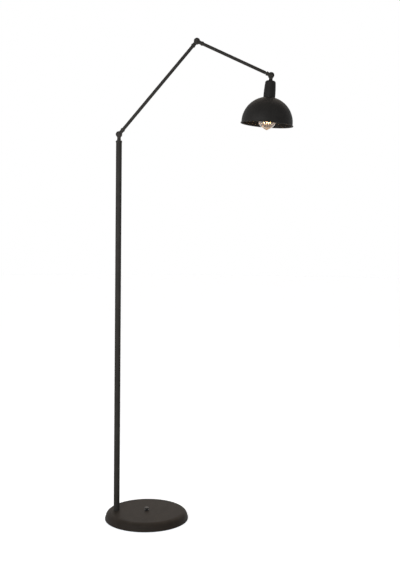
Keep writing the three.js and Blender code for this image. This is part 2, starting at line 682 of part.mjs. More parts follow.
// The half that swings with the stretch above: the same half turned about its neck, so that it is in front.
function swingingHalf(name, neck) {
  const lug = piece(`${name}_lug_swinging`, "powderCoat", knuckleHalf(neck));
  lug.rotation.z = Math.PI;
  return lug;
}

function armNeck(neckEnd, collarEnd, groove) {
  return { neckEnd, collarEnd, stemEnd: collarEnd + groove + STEM_LENGTH };
}

// ---------------------------------------------------------------- arms
function armTube(start, end) {
  return ring(ARM_RADIUS - ARM_WALL, ARM_RADIUS, start, end);
}

function armLead(length) {
  return rod(LEAD_RADIUS, LEAD_START, length - LEAD_START, LEAD_SIDES);
}

// ---------------------------------------------------------------- shade and socket cup
// Distance from the head knuckle to the dome's surface where its radius is as given.
function domeDepth(radius, thickness) {
  return SHADE_TOP + SHADE_RADIUS - Math.sqrt((SHADE_RADIUS - thickness) ** 2 - radius ** 2);
}

function domeOutline(thickness) {
  const sphere = SHADE_RADIUS - thickness;
  const first = Math.asin(SHADE_HOLE_RADIUS / sphere);
  return Array.from({ length: SHADE_STEPS + 1 }, (_, step) => {
    const turn = first + (Math.PI / 2 - first) * (step / SHADE_STEPS);
    return [sphere * Math.sin(turn), SHADE_TOP + SHADE_RADIUS - sphere * Math.cos(turn)];
  });
}

function shade() {
  const skirt = SHADE_TOP + SHADE_RADIUS + SHADE_SKIRT;
  const inner = SHADE_RADIUS - SHADE_WALL;
  const lip = [
    [SHADE_RADIUS, skirt],
    [SHADE_RADIUS + RIM_FLARE / 2, skirt + RIM_DROP - RIM_THICKNESS],
    [SHADE_RADIUS + RIM_FLARE, skirt + RIM_DROP - RIM_THICKNESS + RIM_BEVEL],
    [SHADE_RADIUS + RIM_FLARE, skirt + RIM_DROP - RIM_BEVEL],
    [SHADE_RADIUS + RIM_FLARE / 2, skirt + RIM_DROP],
    [inner, skirt + SHADE_WALL],
  ];
  return turned(closed([...domeOutline(0), ...lip, ...domeOutline(SHADE_WALL).reverse()]), LARGE_SIDES);
}

// The cup's outline from its mouth up to its top hole, moved in by inset.
function cupOutline(inset) {
  const mouth = domeDepth(CUP_RADIUS - CUP_WALL, 0) - GAP;
  const cornerDepth = CUP_TOP + CUP_CORNER;
  const length = mouth - cornerDepth;
  const cornerCentre = CUP_RADIUS - CUP_TOP_TAPER - CUP_CORNER;
  const round = CUP_CORNER - inset;
  return [
    ...CUP_TAPERS.map(([share, taper]) => [CUP_RADIUS - taper - inset, mouth - share * length]),
    ...quarter(cornerCentre, cornerDepth, round, -round, ROUND_STEPS),
    [ARM_STEM_RADIUS + GAP, CUP_TOP + inset],
  ];
}

function socketCup() {
  return turned(closed([...cupOutline(0).reverse(), ...cupOutline(CUP_WALL)]), MEDIUM_SIDES);
}

// ---------------------------------------------------------------- lamp holder
function cupLocknut() {
  return hexNut(LOCKNUT_FLATS, ARM_STEM_RADIUS + GAP, LOCKNUT_TOP, LOCKNUT_HEIGHT);
}

function holderCap() {
  const bottom = HOLDER_TOP + HOLDER_CAP_HEIGHT;
  const bore = ARM_STEM_RADIUS + GAP;
  const flat = bore + HOLDER_CAP_WALL;
  const reach = HOLDER_CAP_RADIUS - flat;
  const rise = -HOLDER_CAP_DOME;
  const roof = (inset) =>
    quarter(flat, HOLDER_TOP + HOLDER_CAP_DOME, reach - inset, rise + inset, ROUND_STEPS);
  const outline = [
    [HOLDER_CAP_RADIUS - HOLDER_CAP_WALL, bottom],
    ...roof(HOLDER_CAP_WALL),
    [bore, HOLDER_TOP + HOLDER_CAP_WALL],
    [bore, HOLDER_TOP],
    ...roof(0).reverse(),
    [HOLDER_CAP_RADIUS, bottom],
  ];
  return turned(closed(outline));
}

function holderBody() {
  const flangeBottom = domeDepth(SHADE_HOLE_RADIUS, 0) - GAP;
  const flangeTop = flangeBottom - HOLDER_FLANGE_THICKNESS;
  const inner = HOLDER_RADIUS - HOLDER_WALL;
  const outline = [
    [inner, HOLDER_BODY_TOP],
    [HOLDER_CAP_RADIUS, HOLDER_BODY_TOP],
    [HOLDER_CAP_RADIUS, flangeTop - HOLDER_FLANGE_THICKNESS],
    [HOLDER_FLANGE_RADIUS, flangeTop],
    [HOLDER_FLANGE_RADIUS, flangeBottom],
    [HOLDER_RADIUS, flangeBottom],
    [HOLDER_RADIUS, HOLDER_BODY_END],
    [inner, HOLDER_BODY_END],
  ];
  return turned(closed(outline), MEDIUM_SIDES);
}

// The ceramic disc that carries the contacts, with a hole for each of the two wires.
function holderInsulator() {
  const disc = rod(HOLDER_RADIUS - HOLDER_WALL - GAP, INSULATOR_START, INSULATOR_END);
  const reach = CONTACT_RADIUS + 2 * INSULATOR_WIRE_RADIUS;
  const wireHoles = [-reach, reach].map((x) =>
    rod(INSULATOR_WIRE_RADIUS, INSULATOR_START - OVERCUT, INSULATOR_END + OVERCUT).translate(x, 0, 0),
  );
  return cut(disc, ...wireHoles);
}

function holderContact() {
  return rod(HOLDER_CONTACT_RADIUS, INSULATOR_END + GAP, BULB_START - GAP);
}

function holderShell() {
  return ring(SHELL_RADIUS - SHELL_WALL, SHELL_RADIUS, INSULATOR_END + GAP, SCREW_CAP_END);
}

function shadeRing() {
  const inner = HOLDER_RADIUS + GAP;
  const top = domeDepth(inner + SHADE_RING_WIDTH, SHADE_WALL) + 2 * GAP;
  const outline = [
    [inner, top],
    [inner + SHADE_RING_WIDTH, top],
    [inner + SHADE_RING_WIDTH, top + SHADE_RING_FLANGE],
    [inner + SHADE_RING_GRIP, top + SHADE_RING_FLANGE],
    [inner + SHADE_RING_GRIP, top + SHADE_RING_HEIGHT],
    [inner, top + SHADE_RING_HEIGHT],
  ];
  return turned(closed(outline), MEDIUM_SIDES);
}

// ---------------------------------------------------------------- bulb
// The glass from its neck to its tip: a smooth swell to the widest section, then a blunt cone. The wall is
// taken off along the radius, and off the tip's height.
function glassOutline(thickness) {
  const neck = SCREW_CAP_END + GAP;
  const widest = BULB_TIP - BULB_TIP_HEIGHT;
  const body = Array.from({ length: BULB_BODY_STEPS }, (_, step) => {
    const share = step / BULB_BODY_STEPS;
    const swell = 0.5 - 0.5 * Math.cos(Math.PI * share);
    const radius = BULB_NECK_RADIUS + (BULB_RADIUS - BULB_NECK_RADIUS) * swell;
    return [radius - thickness, neck + (widest - neck) * share];
  });
  const tip = Array.from({ length: BULB_TIP_STEPS }, (_, step) => {
    const share = step / BULB_TIP_STEPS;
    const radius = (BULB_RADIUS - thickness) * (1 - share ** BULB_TIP_SHOULDER) ** BULB_TIP_CLOSE;
    return [radius, widest + (BULB_TIP_HEIGHT - thickness) * share];
  });
  return [...body, ...tip, [0, BULB_TIP - thickness]];
}

function bulbGlass() {
  return turned(closed([...glassOutline(0), ...glassOutline(BULB_WALL).reverse()]), SMALL_SIDES);
}

function bulbScrewCap() {
  const pitch = SCREW_CAP_LENGTH / (2 * SCREW_THREADS + 1);
  const ridges = Array.from({ length: 2 * SCREW_THREADS + 2 }, (_, step) => {
    const depth = step % 2 ? 0 : SCREW_THREAD_DEPTH;
    return [SCREW_CAP_RADIUS - depth, SCREW_CAP_START + pitch * step];
  });
  const inner = SCREW_CAP_RADIUS - SCREW_THREAD_DEPTH - SCREW_CAP_WALL;
  return turned([
    [0, SCREW_CAP_START],
    ...ridges,
    [inner, SCREW_CAP_END],
    [inner, SCREW_CAP_START + SCREW_CAP_WALL],
    [0, SCREW_CAP_START + SCREW_CAP_WALL],
  ]);
}

function bulbInsulator() {
  const start = BULB_START + CONTACT_THICKNESS + GAP;
  return turned([
    [0, start],
    [CONTACT_RADIUS, start],
    [SCREW_CAP_RADIUS - 2 * SCREW_THREAD_DEPTH, start + BUTTON_GLASS_HEIGHT],
    [0, start + BUTTON_GLASS_HEIGHT],
  ]);
}

function bulbContact() {
  return rod(CONTACT_RADIUS, BULB_START, BULB_START + CONTACT_THICKNESS);
}

// The flared glass mount that is fused into the neck, with the rod that carries the filament.
function bulbStem() {
  const foot = SCREW_CAP_END + 2 * GAP;
  return turned([
    [0, foot],
    [STEM_FLARE_RADIUS, foot],
    [STEM_PRESS_RADIUS, foot + STEM_FLARE_HEIGHT],
    [STEM_PRESS_RADIUS, STEM_PRESS_END],
    [STEM_ROD_RADIUS, STEM_PRESS_END + STEM_PRESS_RADIUS],
    [STEM_ROD_RADIUS, STEM_ROD_END],
    [0, STEM_ROD_END],
  ]);
}

// The filament's corners: even ones at the upper support, odd ones at the lower.
function filamentTurn(corner) {
  return (2 * Math.PI * corner) / (FILAMENT_LEGS + 1);
}

// A hub on the rod, with a wire out to every second corner of the filament from the first one given.
function filamentSupport(depth, ringRadius, firstCorner) {
  const hubRadius = STEM_ROD_RADIUS + GAP + SUPPORT_HUB_WALL;
  const half = SUPPORT_HUB_HEIGHT / 2;
  const hub = ring(STEM_ROD_RADIUS + GAP, hubRadius, depth - half, depth + half);
  const root = hubRadius - SUPPORT_HUB_WALL / 2;
  const tip = ringRadius - FILAMENT_RADIUS - GAP;
  const wires = [];
  for (let corner = firstCorner; corner <= FILAMENT_LEGS; corner += 2) {
    const arm = rod(SUPPORT_WIRE_RADIUS, root, tip, WIRE_SIDES).rotateY(Math.PI / 2);
    wires.push(arm.rotateZ(filamentTurn(corner)).translate(0, 0, depth));
  }
  return joined(hub, ...wires);
}

// A zigzag of thin wire that runs up and down a slim cone around the rod.
function filament() {
  const corners = Array.from({ length: FILAMENT_LEGS + 1 }, (_, corner) => {
    const radius = corner % 2 ? FILAMENT_FOOT_RING : FILAMENT_TOP_RING;
    const turn = filamentTurn(corner);
    const depth = corner % 2 ? LOWER_SUPPORT : UPPER_SUPPORT;
    return new THREE.Vector3(radius * Math.cos(turn), radius * Math.sin(turn), depth);
  });
  const legs = corners.slice(1).flatMap((corner, leg) =>
    Array.from({ length: FILAMENT_LEG_STEPS }, (_, step) =>
      corners[leg].clone().lerp(corner, step / FILAMENT_LEG_STEPS),
    ),
  );
  return wire([...legs, corners.at(-1)], FILAMENT_RADIUS, WIRE_SIDES);
}

// ---------------------------------------------------------------- assembly
function stand() {
  const group = new THREE.Group();
  group.add(piece("base_pad", "foam", basePad()));
  group.add(piece("base_weight", "castIron", baseWeight()));
  group.add(piece("base_cover", "powderCoat", baseCover()));
  group.add(piece("cord_gland", "blackPlastic", cordGland()));
  group.add(piece("switch_body", "blackPlastic", switchBody()));
  group.add(piece("switch_nut", "zincSteel", switchNut()));
  group.add(piece("switch_button", "blackPlastic", switchButton()));
  group.add(piece("switch_spring", "zincSteel", switchSpring()));
  group.add(piece("pole_lead", "leadSheath", poleLead()));

  const pole = new THREE.Group();
  pole.position.x = POLE_X;
  pole.add(piece("pole_nipple", "zincSteel", poleNipple()));
  pole.add(piece("pole_washer", "zincSteel", poleWasher()));
  pole.add(piece("pole_nut", "zincSteel", poleNut()));
  pole.add(piece("pole_plug", "zincSteel", polePlug()));
  pole.add(piece("pole_tube", "powderCoat", poleTube()));
  pole.add(piece("pole_cap", "powderCoat", poleCap()));

  const capTop = LUG_RADIUS + POLE_NECK_LENGTH;
  const neck = { neckEnd: capTop - GAP, stemEnd: capTop + POLE_CAP_HEIGHT + POLE_CAP_PLUG };
  const knuckle = fixedHalf("shoulder", neck, 0);
  knuckle.position.z = SHOULDER_HEIGHT;
  const arm = lowerArm();
  arm.position.z = SHOULDER_HEIGHT;
  pole.add(knuckle, arm);
  group.add(pole);
  return group;
}

function lowerArm() {
  const group = new THREE.Group();
  group.rotation.y = THREE.MathUtils.degToRad(LOWER_ARM_LEAN);
  const neck = armNeck(COLLAR_START, COLLAR_END, GAP);
  const tube = armTube(COLLAR_END + GAP, LOWER_ARM_LENGTH - COLLAR_END - GAP);
  group.add(swingingHalf("shoulder", neck));
  group.add(piece("lower_arm_tube", "powderCoat", tube));
  group.add(piece("lower_arm_lead", "leadSheath", armLead(LOWER_ARM_LENGTH)));

  const knuckle = fixedHalf("elbow", neck, LOWER_ARM_LEAN);
  const arm = upperArm();
  knuckle.position.z = LOWER_ARM_LENGTH;
  arm.position.z = LOWER_ARM_LENGTH;
  group.add(knuckle, arm);
  return group;
}

function upperArm() {
  const group = new THREE.Group();
  group.rotation.y = THREE.MathUtils.degToRad(UPPER_ARM_LEAN - LOWER_ARM_LEAN);
  const tube = armTube(COLLAR_END + GAP, UPPER_ARM_LENGTH - HEAD_END_COLLAR_END - HEAD_END_GROOVE);
  group.add(swingingHalf("elbow", armNeck(COLLAR_START, COLLAR_END, GAP)));
  group.add(piece("upper_arm_tube", "powderCoat", tube));
  group.add(piece("upper_arm_lead", "leadSheath", armLead(UPPER_ARM_LENGTH)));

  const neck = armNeck(HEAD_END_COLLAR_START, HEAD_END_COLLAR_END, HEAD_END_GROOVE);
  const knuckle = fixedHalf("head", neck, UPPER_ARM_LEAN);
  const lamp = head();
  knuckle.position.z = UPPER_ARM_LENGTH;
  lamp.position.z = UPPER_ARM_LENGTH;
  group.add(knuckle, lamp);
  return group;
}

function head() {
  const group = new THREE.Group();
  group.rotation.y = THREE.MathUtils.degToRad(HEAD_LEAN - UPPER_ARM_LEAN);
  const neck = { neckEnd: HEAD_NECK_END, stemEnd: HOLDER_TOP + HOLDER_THREAD_LENGTH };
  const lead = rod(LEAD_RADIUS, LEAD_START, INSULATOR_START - GAP, LEAD_SIDES);
  group.add(swingingHalf("head", neck));
  group.add(piece("head_lead", "leadSheath", lead));
  group.add(piece("socket_cup", "powderCoat", socketCup()));
  group.add(piece("cup_locknut", "zincSteel", cupLocknut()));
  group.add(piece("holder_cap", "blackPlastic", holderCap()));
  group.add(piece("holder_body", "blackPlastic", holderBody()));
  group.add(piece("holder_insulator", "ceramic", holderInsulator()));
  group.add(piece("holder_contact", "brass", holderContact()));
  group.add(piece("holder_shell", "brass", holderShell()));
  group.add(piece("shade", "powderCoat", shade()));
  group.add(piece("shade_ring", "blackPlastic", shadeRing()));
  group.add(piece("bulb_glass", "glass", bulbGlass()));
  group.add(piece("bulb_screw_cap", "brass", bulbScrewCap()));
  group.add(piece("bulb_insulator", "blackGlass", bulbInsulator()));
  group.add(piece("bulb_contact", "zincSteel", bulbContact()));
  group.add(piece("bulb_stem", "glass", bulbStem()));
  group.add(piece("bulb_filament", "filament", filament()));
  const upperSupport = filamentSupport(UPPER_SUPPORT, FILAMENT_TOP_RING, 0);
  const lowerSupport = filamentSupport(LOWER_SUPPORT, FILAMENT_FOOT_RING, 1);
  group.add(piece("filament_support_upper", "zincSteel", upperSupport));
  group.add(piece("filament_support_lower", "zincSteel", lowerSupport));
  return group;
}

export default stand();
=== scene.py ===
"""Adjustable arm floor lamp: the fine surfaces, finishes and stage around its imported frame.

Laid out as a Blender add-on, with one operator for each piece or group of like pieces. Lengths are metres.
"""

import json
import math
from collections import namedtuple

import bpy
import numpy as np
from bpy.props import FloatProperty, FloatVectorProperty, IntProperty, PointerProperty
from mathutils import Matrix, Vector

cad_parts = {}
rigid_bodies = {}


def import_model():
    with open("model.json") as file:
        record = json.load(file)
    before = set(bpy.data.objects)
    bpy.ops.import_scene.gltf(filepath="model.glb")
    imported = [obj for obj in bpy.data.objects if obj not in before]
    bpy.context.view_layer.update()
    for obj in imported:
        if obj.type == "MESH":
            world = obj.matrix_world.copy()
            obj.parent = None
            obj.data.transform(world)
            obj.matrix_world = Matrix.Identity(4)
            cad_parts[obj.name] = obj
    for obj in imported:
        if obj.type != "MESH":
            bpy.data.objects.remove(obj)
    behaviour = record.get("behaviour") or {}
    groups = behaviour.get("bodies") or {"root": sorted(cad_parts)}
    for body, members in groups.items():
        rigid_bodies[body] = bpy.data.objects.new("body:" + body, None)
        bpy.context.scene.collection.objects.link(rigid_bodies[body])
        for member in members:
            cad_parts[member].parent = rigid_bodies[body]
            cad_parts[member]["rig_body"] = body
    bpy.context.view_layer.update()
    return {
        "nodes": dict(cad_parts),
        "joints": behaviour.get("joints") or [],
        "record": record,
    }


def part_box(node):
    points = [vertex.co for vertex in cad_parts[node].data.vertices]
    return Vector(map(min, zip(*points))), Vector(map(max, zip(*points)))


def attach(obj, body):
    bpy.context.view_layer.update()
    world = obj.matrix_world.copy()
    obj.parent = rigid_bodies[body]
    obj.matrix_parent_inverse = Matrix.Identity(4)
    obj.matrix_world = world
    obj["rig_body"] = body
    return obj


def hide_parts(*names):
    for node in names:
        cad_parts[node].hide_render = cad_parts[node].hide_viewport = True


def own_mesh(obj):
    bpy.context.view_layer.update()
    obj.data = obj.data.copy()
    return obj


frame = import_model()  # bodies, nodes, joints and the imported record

bl_info = {
    "name": "Adjustable Arm Floor Lamp",
    "version": (1, 0, 0),
    "blender": (4, 5, 0),
    "location": "3D View > Sidebar > Floor Lamp",
    "description": "Makes the lamp's fine surfaces and finishes around its packed frame",
    "category": "Add Mesh",
}

SLOTS = {part["node"]: part["material_slot"] for part in frame["record"]["subparts"]}
JOINTS = {joint["name"]: joint for joint in frame["joints"]}
KNUCKLES = ("shoulder", "elbow", "head")
GAP = 0.0003  # air between pieces that touch
OVERCUT = 0.001  # how far a cutting shape runs past what it cuts


# ---------------------------------------------------------------- measuring the frame
class Place:
    """Where a turned piece stands: an origin, and a turn whose columns are across, side and axis.

    Side is the lamp's y, unless the axis runs along it. A half turn points side and across the other way.
    """

    def __init__(self, origin, axis=(0, 0, 1), half_turn=False):
        along = np.array(axis, float) / np.linalg.norm(axis)
        across = np.cross((0, 1, 0), along)
        if not across.any():
            across = np.array((1.0, 0, 0))
        across /= -np.linalg.norm(across) if half_turn else np.linalg.norm(across)
        self.origin = np.array(origin, float)
        self.turn = np.column_stack([across, np.cross(along, across), along])

    def outside(self, points):
        """Local points in the lamp's own frame."""
        return points @ self.turn.T + self.origin

    def inside(self, points):
        """The lamp's points in this place's frame."""
        return (points - self.origin) @ self.turn

    def matrix(self):
        """Moves a shape made about the origin to this place."""
        return Matrix.Translation(self.origin) @ Matrix(self.turn.tolist()).to_4x4()


Span = namedtuple("Span", "start end radius bore")


def span(node, place):
    """How far a node reaches along a place's axis, and its largest and smallest distance from that axis."""
    mesh = frame["nodes"][node].data
    points = np.empty(len(mesh.vertices) * 3)
    mesh.vertices.foreach_get("co", points)
    local = place.inside(points.reshape(-1, 3))
    radii = np.hypot(local[:, 0], local[:, 1])
    return Span(*map(float, (local[:, 2].min(), local[:, 2].max(), radii.max(), radii.min())))


def middle(node):
    """The middle of a node's box."""
    low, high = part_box(node)
    return np.array((low + high) / 2)


SHOULDER, ELBOW, HEAD_PIVOT = (np.array(JOINTS[f"{name}_tilt"]["pos_m"]) for name in KNUCKLES)
ORIGIN = (0, 0, 0)
SIDEWAYS = (0, 1, 0)
STAND = Place(ORIGIN)
POLE = Place((SHOULDER[0], 0, 0))
LOWER = Place(SHOULDER, ELBOW - SHOULDER)
UPPER = Place(ELBOW, HEAD_PIVOT - ELBOW)
HEAD = Place(HEAD_PIVOT, middle("bulb_contact") - HEAD_PIVOT)
SHOULDER_PIN = Place(SHOULDER, SIDEWAYS)

COVER = span("base_cover", STAND)
PAD = span("base_pad", STAND)
SWITCH_NUT = span("switch_nut", STAND)
SPRING = span("switch_spring", STAND)
BUTTON = span("switch_button", STAND)
INLET = Place((0, 0, middle("cord_gland")[2]), SIDEWAYS)
GLAND = span("cord_gland", INLET)
TUBE = span("pole_tube", POLE)
CAP = span("pole_cap", POLE)
ARM = span("lower_arm_tube", LOWER)
UPPER_ARM = span("upper_arm_tube", UPPER)
UPPER_LENGTH = float(np.linalg.norm(HEAD_PIVOT - ELBOW))
LUG_RADIUS = -span("shoulder_lug_swinging", LOWER).start
LUG_OUTSIDE = -float(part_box("shoulder_lug_swinging")[0].y)
SCREW = span("shoulder_pivot_screw", SHOULDER_PIN)
NUT = span("shoulder_pivot_nut", SHOULDER_PIN)
FRICTION = span("shoulder_friction_ring", SHOULDER_PIN)
CUP = span("socket_cup", HEAD)
SHADE = span("shade", HEAD)
SHADE_RING = span("shade_ring", HEAD)
HOLDER = span("holder_body", HEAD)
GLASS = span("bulb_glass", HEAD)
SCREW_CAP = span("bulb_screw_cap", HEAD)
BULB_STEM = span("bulb_stem", HEAD)
FILAMENT = span("bulb_filament", HEAD)


# ---------------------------------------------------------------- settings
def length(name, default, description):
    return FloatProperty(
        name=name, description=description, default=float(default), min=0.0, precision=5, unit="LENGTH"
    )


def share(name, default, description, high=1.0):
    return FloatProperty(
        name=name, description=description, default=default, min=0.0, max=high, subtype="FACTOR"
    )


def angle(name, default, description):
    return FloatProperty(
        name=name, description=description, default=math.radians(default), unit="ROTATION"
    )


def colour(name, default, description):
    return FloatVectorProperty(
        name=name, description=description, default=default, min=0.0, max=1.0, size=3, subtype="COLOR"
    )


def count(name, default, description):
    return IntProperty(name=name, description=description, default=default, min=3)


class BaseSettings(bpy.types.PropertyGroup):
    radius: length("Radius", COVER.radius, "Floor radius of the pressed cover")
    height: length("Height", COVER.end, "Floor to the cover's flat top")
    wall: length("Wall", 0.0018, "Thickness of the pressed cover")
    rim_top: length("Rim top", 0.004, "Height of the upright rim")
    side_top: length("Side top", 0.012, "Height of the centre of the rounded shoulder")
    side_draft: length("Side draft", 0.003, "How far the side leans in")
    shoulder_width: length("Shoulder width", 0.021, "Reach of the rounded shoulder, seen from above")
    top_hole: length("Switch hole", 0.0063, "Radius of the hole for the foot switch")
    pole_hole: length("Pole hole", 0.0053, "Radius of the hole under the pole")


class SwitchSettings(bpy.types.PropertyGroup):
    button_radius: length("Button radius", BUTTON.radius, "Radius of the button's cap")
    button_height: length("Button height", 0.0056, "Height of the button's cap")
    crown_rise: length("Crown rise", 0.003, "Height of the button's rounded crown")
    crown_reach: length("Crown reach", 0.0056, "How far the crown rounds in from the side")
    stem_radius: length("Stem radius", 0.0023, "Radius of the button's stem")
    skirt_wall: length("Skirt wall", 0.0013, "Wall of the cap around the bushing")
    skirt_depth: length("Skirt depth", 0.0008, "How deep the cap is hollowed over the bushing")
    notches: count("Notches", 40, "Notches around the ring nut")
    spring_wire: length("Spring wire", 0.0004, "Radius of the spring's wire")
    spring_turns: count("Spring turns", 6, "Turns of the spring")


class PoleSettings(bpy.types.PropertyGroup):
    radius: length("Radius", TUBE.radius, "Outer radius of the pole")
    cap_height: length("Cap height", 0.007, "Height of the rounded cap above the tube")
    cap_round: length("Cap rounding", 0.003, "Radius of the cap's rounded edge")


class KnuckleSettings(bpy.types.PropertyGroup):
    lug_radius: length("Lug radius", LUG_RADIUS, "Radius of the round lugs")
    lug_edge: length("Lug edge", 0.001, "Rounding of a lug's outer edge")
    neck_radius: length("Neck radius", 0.007, "Radius of the turned necks")
    neck_waist: length("Neck waist", 0.0005, "How much slimmer a neck is at its waist")
    neck_flare: length("Neck flare", 0.0035, "Radius of the fillet between lug and neck")
    collar_lip: length("Collar lip", 0.002, "How far a collar stands proud of the arm")
    collar_length: length("Collar length", 0.0056, "Length of the collars")
    short_collar: length("Short collar", 0.0046, "Length of the collar at the arm's head end")
    groove: length("Groove", 0.0024, "Bare stem between the short collar and the tube")
    slot_width: length("Slot width", 0.0015, "Width of the screwdriver slots")
    slot_depth: length("Slot depth", 0.0013, "Depth of the screwdriver slots")
    slot_lean: angle("Slot lean", -22, "How far the slots lean from upright")
    nut_flats: length("Nut size", 0.009, "Pivot nut across its flats")


class ShadeSettings(bpy.types.PropertyGroup):
    cup_wall: length("Cup wall", 0.0009, "Wall of the socket cup")
    cup_corner: length("Cup corner", 0.008, "Rounding of the cup's top corner")
    cup_taper: length("Cup taper", 0.00235, "How much narrower the cup is at its top corner")
    radius: length("Dome radius", 0.093, "Outer radius of the dome")
    wall: length("Dome wall", 0.0008, "Thickness of the spun dome")
    skirt: length("Skirt", 0.005, "Straight side below the dome")
    lip_height: length("Lip height", 0.002, "Thickness of the rolled lip")
    knurls: count("Knurls", 60, "Ridges around the shade ring")


class BulbSettings(bpy.types.PropertyGroup):
    radius: length("Radius", GLASS.radius, "Radius of the glass at its widest")
    wall: length("Wall", 0.0008, "Thickness of the glass")
    neck_radius: length("Neck radius", 0.0129, "Radius of the glass where it leaves the screw cap")
    tip_height: length("Tip height", 0.032, "From the widest section to the tip")
    thread_depth: length("Thread depth", 0.0009, "Depth of the rolled thread")
    threads: count("Threads", 5, "Turns of the rolled thread")
    coil_radius: length("Coil radius", 0.0005, "Radius of the filament's fine coil")
    coil_wire: length("Coil wire", 0.00018, "Radius of the filament's wire")
    coil_turns: count("Coil turns", 300, "Turns of the fine coil over the whole filament")
    tint: colour("Glass tint", (0.88, 0.83, 0.76), "Colour of the glass")
    # The tip's amber is painted glow: the filament's warm light gathered in the glass's tip.
    tip_tint: colour("Tip tint", (0.6, 0.43, 0.26), "Colour of the thick glass at the tip")
    glow: colour("Glow", (1.0, 0.62, 0.28), "Colour of the lit filament")
    glow_strength: FloatProperty(
        name="Glow strength", description="How brightly the filament shows", default=24.0, min=0.0
    )


# The base, pole and shade wear one powder coat. Its three colours are lit and shaded copies of it, painted
# light and shade: the shade's darker, the pole's paler, the base's browner.
class FinishSettings(bpy.types.PropertyGroup):
    base_coat: colour("Base coat", (0.029, 0.0238, 0.0195), "Powder coat of the base")
    pole_coat: colour("Pole coat", (0.0375, 0.0355, 0.0328), "Powder coat of the pole, knuckles and arms")
    shade_coat: colour("Shade coat", (0.0195, 0.0187, 0.0177), "Powder coat of the cup and dome")
    coat_roughness: share("Coat roughness", 0.58, "Roughness of the powder coat")
    base_gloss: share("Base gloss", 0.07, "Specular level of the base's coat")
    pole_gloss: share("Pole gloss", 0.05, "Specular level of the pole's coat")
    shade_gloss: share("Shade gloss", 0.1, "Specular level of the shade's coat")
    grain: length("Grain", 0.0005, "Size of the powder coat's grain")
    wear: share("Edge wear", 0.85, "How far the coat is rubbed along edges")
    # Dust on faces that point up, which also makes them paler: partly dust, partly painted top light, most on
    # the base.
    base_dust: share("Base dust", 0.065, "How much dust lies on the base")
    pole_dust: share("Pole dust", 0.05, "How much dust lies on the knuckles and arms")
    shade_dust: share("Shade dust", 0.01, "How much dust lies on the cup and dome")


class StageSettings(bpy.types.PropertyGroup):
    floor: colour("Floor", (0.82, 0.82, 0.82), "Colour of the floor")
    floor_radius: length("Floor radius", 14.0, "Radius of the floor")
    floor_lift: share("Floor lift", 0.62, "How far the floor's own glow lifts it to white")
    room_light: share("Room light", 0.44, "Level of the even light from all round")
    ceiling: share("Ceiling", 0.3, "How bright the ceiling is beside the walls")
    key_light: share("Side light", 0.2, "Level of the soft light from the left front")
    top_light: share("Top light", 0.33, "Level of the soft light from above")
    front_light: share("Front light", 0.8, "Level of the near light at the pole's upper half")
    front_height: length("Front light height", 1.15, "Height of the near light above the floor")
    front_distance: length("Front light distance", 1.3, "Distance from the near light to the lamp's plane")
    front_side: FloatProperty(
        name="Front light side",
        description="Where the near light stands along the lamp's reach",
        default=-0.5,
        unit="LENGTH",
    )
    front_width: length("Front light width", 0.6, "Width of the square near light")
    camera_height: length("Camera height", 1.0812, "Height of the camera above the floor")
    camera_distance: length("Camera distance", 3.18, "Distance from the camera to the lamp's plane")
    camera_side: length("Camera side", 0.1864, "How far the camera stands along the lamp's reach")
    camera_roll: angle("Camera roll", -0.373, "How far the camera is tipped about its view")
    camera_lens: FloatProperty(
        name="Lens",
        description="Focal length in millimetres",
        default=55.44,
        min=1.0,
        subtype="DISTANCE_CAMERA",
    )
    camera_rise: FloatProperty(
        name="Lens rise", description="Upward shift of the picture, in long sides", default=-0.11442
    )


class LampSettings(bpy.types.PropertyGroup):
    base: PointerProperty(type=BaseSettings)
    switch: PointerProperty(type=SwitchSettings)
    pole: PointerProperty(type=PoleSettings)
    knuckle: PointerProperty(type=KnuckleSettings)
    shade: PointerProperty(type=ShadeSettings)
    bulb: PointerProperty(type=BulbSettings)
    finish: PointerProperty(type=FinishSettings)
    stage: PointerProperty(type=StageSettings)


# ---------------------------------------------------------------- surfaces
def arc(centre, reach, rise, first=0.0, last=90.0, steps=12):
    """Part of an ellipse: centre + (reach cos t, rise sin t) for t from the first to the last angle."""
    turn = np.radians(np.linspace(first, last, steps + 1))
    return np.column_stack([centre[0] + reach * np.cos(turn), centre[1] + rise * np.sin(turn)])


def unit(vectors):
    return vectors / np.linalg.norm(vectors, axis=-1, keepdims=True)


def rounded(corners, steps=5):
    """A closed outline whose corners (radius, height, rounding) turn into arcs that touch both their sides.

    With a the corner's half angle, an arc's centre lies rounding / sin a along the halving line.
    """
    corners = np.array(corners, float)
    points = corners[:, :2]
    before = unit(np.roll(points, 1, axis=0) - points)
    after = unit(np.roll(points, -1, axis=0) - points)
    outline = []
    for point, back, ahead, rounding in zip(points, before, after, corners[:, 2]):
        if not rounding:
            outline.append(point)
            continue
        half = np.arccos(np.clip(back @ ahead, -1, 1)) / 2
        centre = point + unit(back + ahead) * rounding / np.sin(half)
        start, stop = (point + way * rounding / np.tan(half) - centre for way in (back, ahead))
        first = np.arctan2(start[1], start[0])
        sweep = (np.arctan2(stop[1], stop[0]) - first + np.pi) % (2 * np.pi) - np.pi
        turn = first + sweep * np.linspace(0, 1, steps + 1)
        outline.extend(centre + rounding * np.column_stack([np.cos(turn), np.sin(turn)]))
    return np.array(outline)


def skinned(rings, ends=None):
    """Four-sided faces between neighbouring rings of points, an array of rings by sides by xyz.

    Two end points close the skin with fans. Without them the last ring meets the first.
    """
    total, sides = rings.shape[:2]
    index = np.arange(total * sides).reshape(total, sides)
    if ends is None:
        index = np.vstack([index, index[:1]])
    ahead = np.roll(index, -1, axis=1)
    faces = np.stack([index[:-1], ahead[:-1], ahead[1:], index[1:]], axis=-1).reshape(-1, 4).tolist()
    points = rings.reshape(-1, 3)
    if ends is not None:
        foot = np.full(sides, len(points))
        faces += np.column_stack([foot, ahead[0], index[0]]).tolist()
        faces += np.column_stack([index[-1], ahead[-1], foot + 1]).tolist()
        points = np.vstack([points, *ends])
    return points, faces


